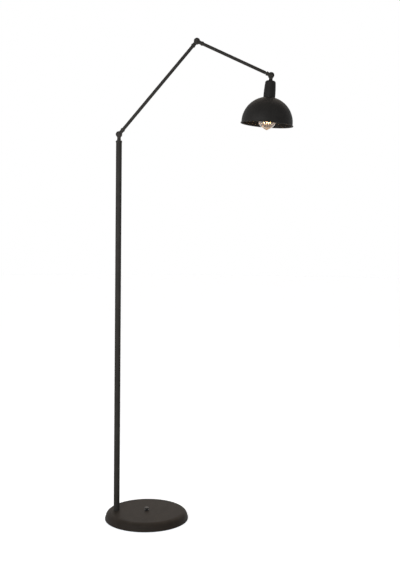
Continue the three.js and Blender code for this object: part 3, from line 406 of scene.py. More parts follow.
def lathed(radii, heights, place):
    """Rings of points (r cos t, r sin t, h), with r and h given for every ring and turn t.

    An outline that starts and ends on the axis closes there.
    """
    turn = np.linspace(0, 2 * np.pi, radii.shape[1], endpoint=False)
    rings = place.outside(np.stack([radii * np.cos(turn), radii * np.sin(turn), heights], axis=-1))
    if radii[0].any():
        return skinned(rings)
    return skinned(rings[1:-1], (rings[:1, 0], rings[-1:, 0]))


def turned(outline, place, sides=96, ridges=0, depths=0.0):
    """A surface of revolution from an anticlockwise outline of (radius, height).

    Ridges press a ring in by depth (1 - cos(ridges t)) / 2, with a depth for each outline point.
    """
    outline = np.asarray(outline, float)
    turn = np.linspace(0, 2 * np.pi, sides, endpoint=False)
    press = np.outer(np.broadcast_to(depths, len(outline)), 0.5 - 0.5 * np.cos(ridges * turn))
    return lathed(outline[:, :1] - press, outline[:, 1:] + np.zeros(sides), place)


def rod(radius, start, end, place, sides=96):
    """A plain round bar, the turned outline of a rectangle."""
    return turned([(0, start), (radius, start), (radius, end), (0, end)], place, sides)


def ring_outline(bore, radius, start, end, edge):
    """A ring's cross section, a rectangle with four rounded corners."""
    corners = ((bore, start), (radius, start), (radius, end), (bore, end))
    return rounded([(*corner, edge) for corner in corners])


def pipe(bore, radius, start, end, place, edge, sides=96):
    """A round pipe or ring with rounded edges, turned from its cross section."""
    return turned(ring_outline(bore, radius, start, end, edge), place, sides)


NUT_SEAT = 0.485  # radius of a hex nut's flat end, of its size across flats


def hexagon(flats, bore, start, end, place):
    """A hex nut. Its side at turn t is flats / (2 cos u), with u the turn from the nearest flat's middle.

    Each end is coned by 30 degrees from a circle just inside the flats.
    """
    turn = np.linspace(0, 2 * np.pi, 96, endpoint=False)
    side = flats / 2 / np.cos(turn % (np.pi / 3) - np.pi / 6)
    seat = np.full_like(side, flats * NUT_SEAT)
    hole = np.full_like(side, bore)
    drop = (side - seat) * np.tan(np.pi / 6)
    level = np.zeros_like(side)
    radii = np.array([hole, seat, side, side, seat, hole])
    heights = np.array([level + start, level + start, start + drop, end - drop, level + end, level + end])
    return lathed(radii, heights, place)


def slab(place, across, side, along):
    """A block centred on a place, with its sizes along the place's three directions."""
    corner = np.array([(-1, -1), (1, -1), (1, 1), (-1, 1)]) * (across / 2, side / 2)
    rings = np.array([np.column_stack([corner, np.full(4, level)]) for level in (-along / 2, along / 2)])
    ends = [np.array([(0, 0, level)]) for level in (-along / 2, along / 2)]
    return skinned(place.outside(rings), [place.outside(end) for end in ends])


WIRE_DOME = 0.7  # radius and reach of the circle half way round a wire's domed end, of the wire's radius


def carried(path, radius, out, sides=8):
    """A round wire with domed ends: circles p + r (cos t n + sin t b) at each point p of the path.

    n is the part of the direction out that is square to the path, and b is square to both.
    """
    tangent = unit(np.gradient(path, axis=0))
    out = np.broadcast_to(out, path.shape)
    normal = unit(out - np.sum(out * tangent, axis=1, keepdims=True) * tangent)
    binormal = np.cross(tangent, normal)
    turn = np.linspace(0, 2 * np.pi, sides, endpoint=False)[None, :, None]
    rim = np.cos(turn) * normal[:, None] + np.sin(turn) * binormal[:, None]
    tips = [path[[end]] + sign * radius * tangent[[end]] for end, sign in ((0, -1), (-1, 1))]
    domes = [
        path[end] + WIRE_DOME * (tip - path[end] + radius * rim[end]) for end, tip in zip((0, -1), tips)
    ]
    rings = [domes[:1], path[:, None] + radius * rim, domes[1:]]
    return skinned(np.concatenate(rings), tips)


def together(*shapes):
    """Several closed shapes as one, with their points counted on."""
    points, faces = [], []
    for shape_points, shape_faces in shapes:
        first = sum(map(len, points))
        points.append(shape_points)
        faces += [[corner + first for corner in face] for face in shape_faces]
    return np.vstack(points), faces


def mesh_of(shape):
    """A mesh of a shape's points and faces."""
    points, faces = shape
    mesh = bpy.data.meshes.new("shape")
    mesh.from_pydata(points, [], faces)
    mesh.update()
    return mesh


def placed(name, data):
    """A new object in the scene."""
    item = bpy.data.objects.new(name, data)
    bpy.context.scene.collection.objects.link(item)
    return item


def carved(shape, *steps):
    """A mesh made from a shape by boolean steps, each an operation and the shape it works with."""
    objects = [placed("blank", mesh_of(shape))]
    for operation, tool in steps:
        objects.append(placed("tool", mesh_of(tool)))
        modifier = objects[0].modifiers.new(operation, "BOOLEAN")
        modifier.operation = operation
        modifier.solver = "EXACT"
        modifier.object = objects[-1]
    depsgraph = bpy.context.evaluated_depsgraph_get()
    mesh = bpy.data.meshes.new_from_object(objects[0].evaluated_get(depsgraph))
    for item in objects:
        spare = item.data
        bpy.data.objects.remove(item)
        bpy.data.meshes.remove(spare)
    return mesh


def stand_in(node, surface, coat=None, crease=35.0):
    """Shows a fine surface instead of a frame node, on the node's body.

    It has its slot's finish, or a coat's. Edges that turn by more than the crease angle stay sharp.
    """
    mesh = surface if isinstance(surface, bpy.types.Mesh) else mesh_of(surface)
    mesh.name = f"{node}_fine"
    mesh.materials.clear()
    mesh.materials.append(finish(coat or SLOTS[node]))
    mesh.shade_smooth()
    mesh.set_sharp_from_angle(angle=math.radians(crease))
    made = placed(f"{node}_fine", mesh)
    weighted = made.modifiers.new("Even shading", "WEIGHTED_NORMAL")
    weighted.keep_sharp = True
    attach(made, frame["nodes"][node]["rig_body"])
    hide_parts(node)
    return made


# ---------------------------------------------------------------- node helpers
def feed(tree, node, inputs):
    """Gives a node's inputs, by name or number, a value each or a socket to join."""
    for name, value in inputs.items():
        if isinstance(value, bpy.types.NodeSocket):
            tree.links.new(value, node.inputs[name])
        else:
            node.inputs[name].default_value = value
    return node


def add(tree, kind, inputs=(), **options):
    """A new shader node, with its inputs fed."""
    node = tree.nodes.new(f"ShaderNode{kind}")
    for name, value in options.items():
        setattr(node, name, value)
    return feed(tree, node, dict(inputs))


def calc(tree, operation, *values, clamp=False):
    """One sum of one, two or three numbers or sockets."""
    return add(tree, "Math", enumerate(values), operation=operation, use_clamp=clamp).outputs[0]


def blend_colour(tree, factor, first, second):
    return add(tree, "Mix", {0: factor, 6: first, 7: second}, data_type="RGBA").outputs[2]


def blend_value(tree, factor, first, second):
    return add(tree, "Mix", {0: factor, 2: first, 3: second}).outputs[0]


def spread(tree, value, low, high, to_low=0.0, to_high=1.0):
    """Stretches a value's range from low and high to two new ends, and stops there."""
    return add(tree, "MapRange", {0: value, 1: low, 2: high, 3: to_low, 4: to_high}).outputs[0]


def noise_of(tree, vector, scale, detail, distortion=0.0):
    """Soft noise between zero and one."""
    inputs = {"Vector": vector, "Scale": scale, "Detail": detail, "Distortion": distortion}
    return add(tree, "TexNoise", inputs).outputs["Fac"]


def use(tree, name, **inputs):
    """Places a shared effect in a material, with its own values. Its node group is built on first use."""
    group = bpy.data.node_groups.get(name) or node_group(name)
    return feed(tree, add(tree, "Group", node_tree=group), inputs).outputs


def node_group(name):
    """Builds a shared effect's node group from its entry in EFFECTS."""
    inputs, outputs, build = EFFECTS[name]
    tree = bpy.data.node_groups.new(name, "ShaderNodeTree")
    for socket_name, default in inputs.items():
        kind = "Vector" if default is None else "Color" if isinstance(default, tuple) else "Float"
        socket = tree.interface.new_socket(socket_name, in_out="INPUT", socket_type=f"NodeSocket{kind}")
        if default is not None:
            socket.default_value = default
    for socket_name in outputs:
        kind = "Color" if socket_name == "Color" else "Float"
        tree.interface.new_socket(socket_name, in_out="OUTPUT", socket_type=f"NodeSocket{kind}")
    given = tree.nodes.new("NodeGroupInput").outputs
    feed(tree, tree.nodes.new("NodeGroupOutput"), build(tree, given))
    return tree


# ---------------------------------------------------------------- shared effects
def build_grain(tree, given):
    """Small rounded lumps of one size with finer noise between them."""
    scale = calc(tree, "DIVIDE", 1.0, given["Size"])
    lumps = add(tree, "TexVoronoi", {"Vector": given["Vector"], "Scale": scale}, feature="SMOOTH_F1")
    noise = noise_of(tree, given["Vector"], calc(tree, "MULTIPLY", scale, 0.6), detail=3.0)
    lump = calc(tree, "SUBTRACT", 1.0, lumps.outputs["Distance"])
    height = blend_value(tree, given["Roughness"], lump, noise)
    return {"Height": height, "Speckle": spread(tree, noise, 0.3, 0.7)}


def build_clouds(tree, given):
    """Two colours in soft clouds of one size, edged with smaller ones."""
    scale = calc(tree, "DIVIDE", 1.0, given["Size"])
    noise = noise_of(tree, given["Vector"], scale, detail=4.0, distortion=0.4)
    cloud = spread(tree, noise, 0.35, 0.65)
    return {"Color": blend_colour(tree, cloud, given["First"], given["Second"]), "Cloud": cloud}


def build_rubbed(tree, given):
    """Where the surface turns within a given width, broken up by noise."""
    normals = {
        0: add(tree, "Bevel", {"Radius": given["Width"]}, samples=4).outputs[0],
        1: add(tree, "NewGeometry").outputs["Normal"],
    }
    facing = add(tree, "VectorMath", normals, operation="DOT_PRODUCT").outputs["Value"]
    edge = spread(tree, facing, 0.998, 0.96)
    broken = spread(tree, noise_of(tree, given["Vector"], scale=180.0, detail=5.0), 0.4, 0.56)
    mask = calc(tree, "MULTIPLY", edge, broken)
    return {"Mask": calc(tree, "MULTIPLY", mask, given["Amount"], clamp=True)}


def build_dust_and_top_light(tree, given):
    """Faces that point up hold dust, in soft patches with fine specks, which also makes them paler: partly
    dust, partly painted top light.
    """
    normal = add(tree, "TexCoord").outputs["Normal"]
    lying = spread(tree, add(tree, "SeparateXYZ", {0: normal}).outputs["Z"], 0.3, 1.0)
    patches = noise_of(tree, given["Vector"], scale=22.0, detail=3.0)
    specks = noise_of(tree, given["Vector"], scale=900.0, detail=2.0)
    patch = spread(tree, patches, 0.3, 0.75, to_low=0.25)
    speck = spread(tree, specks, 0.45, 0.7, to_low=0.35)
    mask = calc(tree, "MULTIPLY", calc(tree, "MULTIPLY", lying, patch), speck)
    return {"Mask": calc(tree, "MULTIPLY", mask, given["Amount"], clamp=True)}


# Each effect: its inputs with their defaults, a vector having none, then its outputs and what builds it.
PALE, GREY = (0.5, 0.5, 0.5, 1.0), (0.4, 0.4, 0.4, 1.0)
EFFECTS = {
    "Grain": ({"Vector": None, "Size": 0.001, "Roughness": 0.5}, ("Height", "Speckle"), build_grain),
    "Clouds": (
        {"Vector": None, "Size": 0.03, "First": PALE, "Second": GREY}, ("Color", "Cloud"), build_clouds
    ),
    "Rubbed edges": ({"Vector": None, "Width": 0.0008, "Amount": 0.4}, ("Mask",), build_rubbed),
    "Settled dust": ({"Vector": None, "Amount": 0.3}, ("Mask",), build_dust_and_top_light),
}


# ---------------------------------------------------------------- finishes
# An opaque finish: two colours in clouds of one size, the colour that shows where edges are rubbed, and
# grain of one size and depth. Stretch draws the pattern out along each direction.
Finish = namedtuple(
    "Finish",
    "first second rubbed roughness metallic gloss clouds grain depth wear dust stretch",
    defaults=(0.0, 0.5, 0.03, 0.001, 0.00002, 0.2, 0.1, (1, 1, 1)),
)

FINISHES = {
    "cast_iron": Finish(
        (0.06, 0.055, 0.05), (0.035, 0.031, 0.028), (0.12, 0.115, 0.11), 0.72, metallic=0.6, grain=0.0022,
        depth=0.00025,
    ),
    "zinc_steel": Finish(
        (0.06, 0.058, 0.058), (0.045, 0.044, 0.046), (0.14, 0.14, 0.14), 0.45, metallic=1.0, clouds=0.008,
        grain=0.0005, depth=0.000006, stretch=(1, 1, 0.12),
    ),
    "brass": Finish(
        (0.52, 0.36, 0.12), (0.4, 0.26, 0.085), (0.66, 0.5, 0.22), 0.3, metallic=1.0, clouds=0.006,
        grain=0.0004, depth=0.000005, stretch=(1, 1, 0.15),
    ),
    "foam": Finish(
        (0.012, 0.012, 0.011), (0.018, 0.018, 0.017), (0.03, 0.03, 0.028), 0.92, gloss=0.2, clouds=0.02,
        grain=0.0011, depth=0.0002, dust=0.0,
    ),
    "black_plastic": Finish(
        (0.02, 0.018, 0.017), (0.015, 0.014, 0.0135), (0.045, 0.042, 0.04), 0.42, gloss=0.4, clouds=0.012,
        grain=0.0004, depth=0.000012, wear=0.3,
    ),
    "lead_sheath": Finish(
        (0.01, 0.01, 0.01), (0.014, 0.014, 0.014), (0.03, 0.03, 0.03), 0.55, clouds=0.01, grain=0.0005,
        depth=0.00001, dust=0.0,
    ),
    "fibre_ring": Finish(
        (0.025, 0.022, 0.02), (0.04, 0.03, 0.022), (0.06, 0.045, 0.035), 0.85, gloss=0.2, clouds=0.004,
        grain=0.0003, depth=0.00005, stretch=(1, 1, 0.3),
    ),
    "ceramic": Finish(
        (0.78, 0.75, 0.68), (0.7, 0.66, 0.58), (0.84, 0.82, 0.76), 0.36, clouds=0.01, grain=0.0009,
        depth=0.00003, dust=0.0,
    ),
    "black_glass": Finish(
        (0.01, 0.008, 0.012), (0.014, 0.011, 0.018), (0.03, 0.028, 0.035), 0.12, clouds=0.004, grain=0.0008,
        depth=0.00001, dust=0.0,
    ),
}
# the dust's colour on faces that point up, partly dust, partly a painted warm top light
DUST_AND_TOP_LIGHT_COLOUR = (0.26, 0.21, 0.165, 1)
DUST_ROUGHNESS = 0.9
RUBBED_WIDTH = 0.0022  # how far from an edge a finish is rubbed
RUBBED_GLOSS = 0.2  # how much smoother a finish is where it is rubbed
UNEVEN_GLOSS = 0.05  # how far the roughness strays with the grain
SPECKLE = 0.8  # how far the grain's speckle brings out the second colour
COAT_THICK = 0.7  # the coat's colour where it lies thick, of its own
COAT_RUBBED = 2.8  # and where it is rubbed
SMUDGE_SIZE = 0.018
AMBER_SHARE = 0.7  # how much of the glass's tip is tinted amber, a painted glow of the filament's light
RIPPLE_SIZE = 0.02
RIPPLE_DEPTH = 0.00012
GLASS_INDEX = 1.5  # how strongly glass bends light
WIRE_COLOURS = ((0.2, 0.15, 0.1, 1), (0.12, 0.1, 0.08, 1))  # the filament's own, where it is hot and cooler
COOLER = (1, 0.8, 0.6)  # the cooler glow, of the hot one
COOLER_PATCH = 0.012


def settings():
    return bpy.context.scene.floor_lamp


def opaque(values):
    return (*values, 1.0)


def scaled(values, factor):
    return tuple(part * factor for part in values)


def new_material(name):
    """A new material, its node tree, its shader, and the piece's own coordinates."""
    material = bpy.data.materials.new(name)
    material.use_nodes = True
    tree = material.node_tree
    return material, tree, tree.nodes["Principled BSDF"], add(tree, "TexCoord").outputs["Object"]


def opaque_material(name, look):
    """Builds a finish from the grain, cloud, rubbed edge and dust effects."""
    material, tree, shader, place = new_material(name)
    drawn = add(tree, "Mapping", {"Vector": place, "Scale": look.stretch}).outputs[0]
    grain = use(tree, "Grain", Vector=drawn, Size=look.grain, Roughness=0.5)
    first, second = opaque(look.first), opaque(look.second)
    clouds = use(tree, "Clouds", Vector=drawn, Size=look.clouds, First=first, Second=second)
    rubbed = use(tree, "Rubbed edges", Vector=place, Width=RUBBED_WIDTH, Amount=look.wear)["Mask"]
    # faces that point up made paler: partly dust, partly painted top light
    dust = use(tree, "Settled dust", Vector=place, Amount=look.dust)["Mask"]
    speckled = spread(tree, grain["Speckle"], 0.0, 1.0, 0.0, SPECKLE)
    toned = blend_colour(tree, speckled, clouds["Color"], second)
    worn = blend_colour(tree, rubbed, toned, opaque(look.rubbed))
    low, high = look.roughness - UNEVEN_GLOSS, look.roughness + UNEVEN_GLOSS
    uneven = spread(tree, grain["Speckle"], 0.0, 1.0, low, high)
    polished = blend_value(tree, rubbed, uneven, max(look.roughness - RUBBED_GLOSS, 0.1))
    bump = add(tree, "Bump", {"Height": grain["Height"], "Distance": look.depth})
    looks = {
        "Base Color": blend_colour(tree, dust, worn, DUST_AND_TOP_LIGHT_COLOUR),
        "Roughness": blend_value(tree, dust, polished, DUST_ROUGHNESS),
        "Normal": bump.outputs[0],
        "Metallic": look.metallic,
        "Specular IOR Level": look.gloss,
    }
    feed(tree, shader, looks)
    return material


def coat_finish(part):
    """The sanded powder coat of base, pole or shade, darker where it lies thick and paler where rubbed, each
    part's colour a lit or shaded copy of one coat, painted light and shade.
    """
    chosen = settings().finish
    tint, gloss, dust = (getattr(chosen, f"{part}_{kind}") for kind in ("coat", "gloss", "dust"))
    return Finish(
        tuple(tint),
        scaled(tint, COAT_THICK),
        scaled(tint, COAT_RUBBED),
        chosen.coat_roughness,
        gloss=gloss,
        clouds=0.035,
        grain=chosen.grain,
        depth=0.0002,
        wear=chosen.wear,
        dust=dust,
    )


def glass_material(name):
    """Clear glass with faint ripples and an amber tip, a painted glow of the filament's light, which lets
    lamp light through to what is inside it.
    """
    bulb = settings().bulb
    material, tree, shader, place = new_material(name)
    tint, clear = opaque(bulb.tint), (1, 1, 1, 1)
    smudges = use(tree, "Clouds", Vector=place, Size=SMUDGE_SIZE, First=tint, Second=clear)
    height = add(tree, "SeparateXYZ", {0: place}).outputs["Z"]
    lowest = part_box("bulb_glass")[0].z
    near_tip = spread(tree, height, lowest, lowest + bulb.tip_height * AMBER_SHARE, 1.0, 0.0)
    ripples = use(tree, "Grain", Vector=place, Size=RIPPLE_SIZE, Roughness=1.0)
    bump = add(tree, "Bump", {"Height": ripples["Height"], "Distance": RIPPLE_DEPTH})
    looks = {
        # the amber tip: painted glow of the filament's light
        "Base Color": blend_colour(tree, near_tip, smudges["Color"], opaque(bulb.tip_tint)),
        "Roughness": spread(tree, smudges["Cloud"], 0.0, 1.0, 0.01, 0.05),
        "Normal": bump.outputs[0],
        "IOR": GLASS_INDEX,
        "Transmission Weight": 0.95,
    }
    feed(tree, shader, looks)
    lamps = add(tree, "LightPath").outputs["Is Shadow Ray"]
    through = add(tree, "BsdfTransparent").outputs[0]
    mix = add(tree, "MixShader", {0: lamps, 1: shader.outputs[0], 2: through})
    feed(tree, tree.nodes["Material Output"], {"Surface": mix.outputs[0]})
    return material


def filament_material(name):
    """Glowing wire that is a little cooler in soft patches here and there."""
    bulb = settings().bulb
    material, tree, shader, place = new_material(name)
    hot, cooler = opaque(bulb.glow), opaque(part * less for part, less in zip(bulb.glow, COOLER))
    heat = use(tree, "Clouds", Vector=place, Size=COOLER_PATCH, First=hot, Second=cooler)
    looks = {
        "Base Color": blend_colour(tree, heat["Cloud"], *WIRE_COLOURS),
        "Roughness": 0.5,
        "Emission Color": heat["Color"],
        "Emission Strength": bulb.glow_strength,
    }
    feed(tree, shader, looks)
    return material


def finish(slot):
    """The material of a slot or coat, made on first use. Its name is capitalised, unlike the frame's own."""
    name = slot.replace("_", " ").capitalize()
    made = bpy.data.materials.get(name)
    if made:
        return made
    if slot == "bulb_glass":
        return glass_material(name)
    if slot == "filament":
        return filament_material(name)
    coat = slot.endswith("_coat")
    return opaque_material(name, coat_finish(slot.removesuffix("_coat")) if coat else FINISHES[slot])


# ---------------------------------------------------------------- base
GLAND_WALL = 0.0013  # wall of the gland's barrel, behind its flange
COVER_SIDES = 191  # an odd number, so that no edge of the cover meets a hole's edge head on


def cover_outline(base, inset):
    """The cover's side, moved in by inset: upright rim, leaning side and a quarter ellipse to its top."""
    top_radius = base.radius - base.side_draft - base.shoulder_width
    reach, rise = base.shoulder_width - inset, base.height - base.side_top - inset
    lean = base.side_draft / (base.side_top - base.rim_top)
    first = math.degrees(math.atan(lean * rise / reach))
    shoulder = arc((top_radius, base.side_top), reach, rise, first, steps=20)
    edge = rounded(
        [
            (top_radius, COVER.start, 0),
            (base.radius - inset, COVER.start, 0.0005),
            (base.radius - inset, base.rim_top, 0.003),
            (*shoulder[0], 0),
        ]
    )
    return np.vstack([edge[1:], shoulder[1:]])


def hole_through(radius, start, end, place):
    """A step that bores a round hole right through."""
    return ("DIFFERENCE", rod(radius, start - OVERCUT, end + OVERCUT, place, sides=48))


class FLOOR_LAMP_OT_base(bpy.types.Operator):
    """Makes the pressed cover with its holes, and the foam pad under it"""

    bl_idname = "floor_lamp.base"
    bl_label = "Base"

    def execute(self, context):
        base = settings().base
        rims = [(base.top_hole, base.height), (base.top_hole, base.height - base.wall)]
        outline = np.vstack([cover_outline(base, 0), rims, cover_outline(base, base.wall)[::-1]])
        gland_hole = GLAND.bore + GLAND_WALL + GAP
        cover = carved(
            turned(outline, STAND, COVER_SIDES),
            hole_through(base.pole_hole, base.height - base.wall, base.height, POLE),
            hole_through(gland_hole, base.radius - base.shoulder_width, base.radius, INLET),
        )
        # the base's browner copy of the one coat, painted light and shade
        stand_in("base_cover", cover, "base_coat")
        under, over = (PAD.radius, PAD.start, 0.0005), (PAD.radius, PAD.end, 0.0009)
        pad = rounded([(0, PAD.start, 0), under, over, (0, PAD.end, 0)])
        stand_in("base_pad", turned(pad, STAND, sides=160))
        return {"FINISHED"}


# ---------------------------------------------------------------- foot switch
CLOSE_WIND = 0.09  # how far the spring's ends are wound closer, of its height
NOTCH_DEPTH = 0.00025
NOTCH_EDGE = 0.0004  # how far the notches reach in over the ring nut's ends


def spring_path(switch):
    """A helix wound closer at its ends: it rises as u - c sin(2 pi u) at the share u of its turns."""
    along = np.linspace(0, 1, switch.spring_turns * 24 + 1)
    turn = 2 * np.pi * switch.spring_turns * along
    wire = switch.spring_wire
    rise = along - CLOSE_WIND * np.sin(2 * np.pi * along)
    height = SPRING.start + wire + (SPRING.end - SPRING.start - 2 * wire) * rise
    reach = SPRING.radius - wire
    return np.column_stack([reach * np.cos(turn), reach * np.sin(turn), height])


def button_outline(switch):
    """The button's stem, its cap hollowed over the bushing, and a crown that is a quarter ellipse."""
    bottom = BUTTON.end - switch.button_height
    ceiling = bottom + switch.skirt_depth
    skirt = switch.button_radius - switch.skirt_wall
    shoulder = BUTTON.end - switch.crown_rise
    edge = rounded(
        [
            (0, BUTTON.start, 0),
            (switch.stem_radius, BUTTON.start, 0.0004),
            (switch.stem_radius, ceiling, 0),
            (skirt, ceiling, 0),
            (skirt, bottom, 0.0003),
            (switch.button_radius, bottom, 0.0005),
            (switch.button_radius, shoulder, 0),
        ]
    )
    flat = switch.button_radius - switch.crown_reach
    crown = arc((flat, shoulder), switch.crown_reach, switch.crown_rise, steps=16)
    return np.vstack([edge, crown[1:], [(0, BUTTON.end)]])


def notched_nut(switch):
    """The ring nut, its side pressed in by notches all round."""
    nut = SWITCH_NUT
    outline = ring_outline(nut.bore, nut.radius, nut.start, nut.end, edge=0.0003)
    depths = np.where(outline[:, 0] > nut.radius - NOTCH_EDGE, NOTCH_DEPTH, 0)
    return turned(outline, STAND, switch.notches * 8, switch.notches, depths)


class FLOOR_LAMP_OT_foot_switch(bpy.types.Operator):
    """Makes the foot switch's domed button, its notched ring nut and its coil spring"""

    bl_idname = "floor_lamp.foot_switch"
    bl_label = "Foot switch"

    def execute(self, context):
        switch = settings().switch
        stand_in("switch_button", turned(button_outline(switch), STAND))
        stand_in("switch_nut", notched_nut(switch))
        path = spring_path(switch)
        wire = carried(path, switch.spring_wire, path * (1, 1, 0), sides=12)
        coil = stand_in("switch_spring", wire, crease=60.0)
        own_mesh(coil)
        return {"FINISHED"}


# ---------------------------------------------------------------- cord inlet
def gland_surface(base):
    """A barrel through the cover, a round flange whose back lies on the cover's side, and a rounded mouth.

    The back's height is sqrt(s^2 - x^2), with s the cover's radius at a point's level and x its place across.
    """
    bore, barrel, radius = GLAND.bore, GLAND.bore + GLAND_WALL, GLAND.radius
    start, end = GLAND.start, GLAND.end
    inside = rounded([(bore, end, 0), (bore, start, 0.0004), (barrel, start, 0.0004), (barrel, end, 0)])
    outside = rounded([(radius, start, 0), (radius, end, 0.0008), (bore, end, 0.0007), (bore, start, 0)])
    turn = np.linspace(0, 2 * np.pi, 64, endpoint=False)
    reach = np.linspace(barrel, radius, 6)[:, None]
    side = cover_outline(base, -GAP)
    level = INLET.origin[2] - reach * np.sin(turn)
    back = np.sqrt(np.interp(level, side[:, 1], side[:, 0]) ** 2 - (reach * np.cos(turn)) ** 2)
    all_round = np.zeros_like(turn)
    before, after = (part[1:-1, :, None] + all_round for part in (inside, outside))
    radii = np.vstack([before[:, 0], reach + all_round, after[:, 0]])
    heights = np.vstack([before[:, 1], back, after[:, 1]])
    return lathed(radii, heights, INLET)


class FLOOR_LAMP_OT_cord_inlet(bpy.types.Operator):
    """Makes the rounded gland in the rear of the cover, its flange shaped to the cover's side"""

    bl_idname = "floor_lamp.cord_inlet"
    bl_label = "Cord inlet"

    def execute(self, context):
        stand_in("cord_gland", gland_surface(settings().base))
        return {"FINISHED"}


# ---------------------------------------------------------------- pole
class FLOOR_LAMP_OT_pole(bpy.types.Operator):
    """Makes the pole's tube and the rounded cap pressed into its top"""

    bl_idname = "floor_lamp.pole"
    bl_label = "Pole"

    def execute(self, context):
        pole = settings().pole
        tube = pipe(TUBE.bore, pole.radius, TUBE.start, TUBE.end, POLE, edge=0.0003)
        # the pole's paler copy of the one coat, painted light
        stand_in("pole_tube", tube, "pole_coat")
        seat = CAP.end - pole.cap_height
        outline = rounded(
            [
                (CAP.bore, CAP.start, 0),
                (TUBE.bore - GAP, CAP.start, 0.0006),
                (TUBE.bore - GAP, seat, 0),
                (CAP.radius, seat, 0.0004),
                (CAP.radius, CAP.end, pole.cap_round),
                (CAP.bore, CAP.end, 0.0003),
            ],
            steps=10,
        )
        stand_in("pole_cap", turned(outline, POLE), "pole_coat")
        return {"FINISHED"}


# ---------------------------------------------------------------- knuckles
STEM_STEP = 0.0013  # from the stem in the arm out to the neck of its collar
STEM_WALL = 0.0016
STEM_BORE_START = 0.0068  # from the pivot to the bored part of the neck
WAIST_SHARE = 0.65  # how much of the neck the waist takes up
MATE_ROOM = 0.00035  # air round the other half's lug


def neck_outline(knuckle, neck_end, collar_end, stem_end, stem_radius):
    """A neck from the pivot out: a fillet at the lug, a waist, a collar if it has one, and the stem.

    The fillet's circle touches the lug's circle and the neck. The waist's depth follows (1 - cos) / 2.
    """
    lug, neck, flare = knuckle.lug_radius, knuckle.neck_radius, knuckle.neck_flare
    centre = (neck + flare, math.sqrt((lug + flare) ** 2 - (neck + flare) ** 2))
    touch = math.degrees(math.atan2(centre[1], centre[0]))
    fillet = arc(centre, flare, flare, 180 + touch, 180, steps=10)
    full = lug + WAIST_SHARE * (neck_end - lug)
    along = np.linspace(0, 1, 17)[1:]
    waist_depth = knuckle.neck_waist * (0.5 - 0.5 * np.cos(2 * np.pi * along))
    waist = np.column_stack([neck - waist_depth, centre[1] + (full - centre[1]) * along])
    ends = [(0, full, 0), (neck, full, 0)]
    if collar_end:
        collar = stem_radius + STEM_STEP + knuckle.collar_lip
        ends += [(neck, neck_end, 0), (collar, neck_end, 0.0005), (collar, collar_end, 0.0006)]
    else:
        ends += [(neck, neck_end, 0.0003)]
    ends += [(stem_radius, collar_end or neck_end, 0), (stem_radius, stem_end, 0.0005), (0, stem_end, 0)]
    return np.vstack([[(0, 0), (fillet[0, 0], 0)], fillet, waist, rounded(ends)[2:]])


LUG_OVERLAP = 0.0001  # how far a lug reaches past the cuts in its neck, so that no faces coincide


def knuckle_half(knuckle, neck_end, collar_end, stem_end, stem_radius):
    """Half a knuckle about the side axis: a lug on the far side of the middle and a neck along the axis.

    The neck is cut clear of the other half, bored for the screw, joined to the lug and bored for a lead.
    """
    pivot = Place(ORIGIN, SIDEWAYS)
    face, hole, lug_radius = FRICTION.end + GAP, NUT.bore, knuckle.lug_radius
    corners = [
        (hole, face, 0.0002),
        (lug_radius, face, 0.0002),
        (lug_radius, LUG_OUTSIDE, knuckle.lug_edge),
        (hole, LUG_OUTSIDE, 0.0002),
    ]
    neck = neck_outline(knuckle, neck_end, collar_end, stem_end, stem_radius)
    below, above = -2 * LUG_OUTSIDE, 2 * LUG_OUTSIDE
    return carved(
        turned(neck, STAND),
        ("DIFFERENCE", rod(lug_radius + MATE_ROOM, below, face + LUG_OVERLAP, pivot)),
        ("DIFFERENCE", rod(hole + LUG_OVERLAP, -OVERCUT, above, pivot)),
        ("UNION", turned(rounded(corners), pivot)),
        ("DIFFERENCE", rod(stem_radius - STEM_WALL, STEM_BORE_START, stem_end + OVERCUT, STAND, sides=32)),
    )


SCREW_SHANK = 0.0025
SCREW_CROWN = 0.0125  # radius of the ball that a screw's head is part of
CROWN_TILT = 64  # degrees from the ball's level circle, where the head's crown ends
SCREW_BEVEL = 0.0005  # from the crown down to the head's side


def pivot_screw(knuckle, pivot):
    """A slotted screw along the side axis: a head whose crown is part of a ball, and a plain shank."""
    under = -LUG_OUTSIDE - GAP
    crown = arc((0, SCREW.start + SCREW_CROWN), SCREW_CROWN, -SCREW_CROWN, 90, CROWN_TILT, steps=8)
    edge = rounded(
        [
            (0, under, 0),
            (*crown[-1], 0),
            (SCREW.radius, crown[-1, 1] + SCREW_BEVEL, 0.0004),
            (SCREW.radius, under, 0.0003),
            (SCREW_SHANK, under, 0),
            (SCREW_SHANK, SCREW.end, 0.0004),
            (0, SCREW.end, 0),
        ]
    )
    screw = turned(np.vstack([crown, edge[2:]]), Place(pivot, SIDEWAYS), sides=72)
    lean = (math.sin(knuckle.slot_lean), 0, math.cos(knuckle.slot_lean))
    head_face = Place(pivot + (0, SCREW.start, 0), lean)
    slot = slab(head_face, knuckle.slot_width, 2 * knuckle.slot_depth, 4 * SCREW.radius)
    return carved(screw, ("DIFFERENCE", slot))


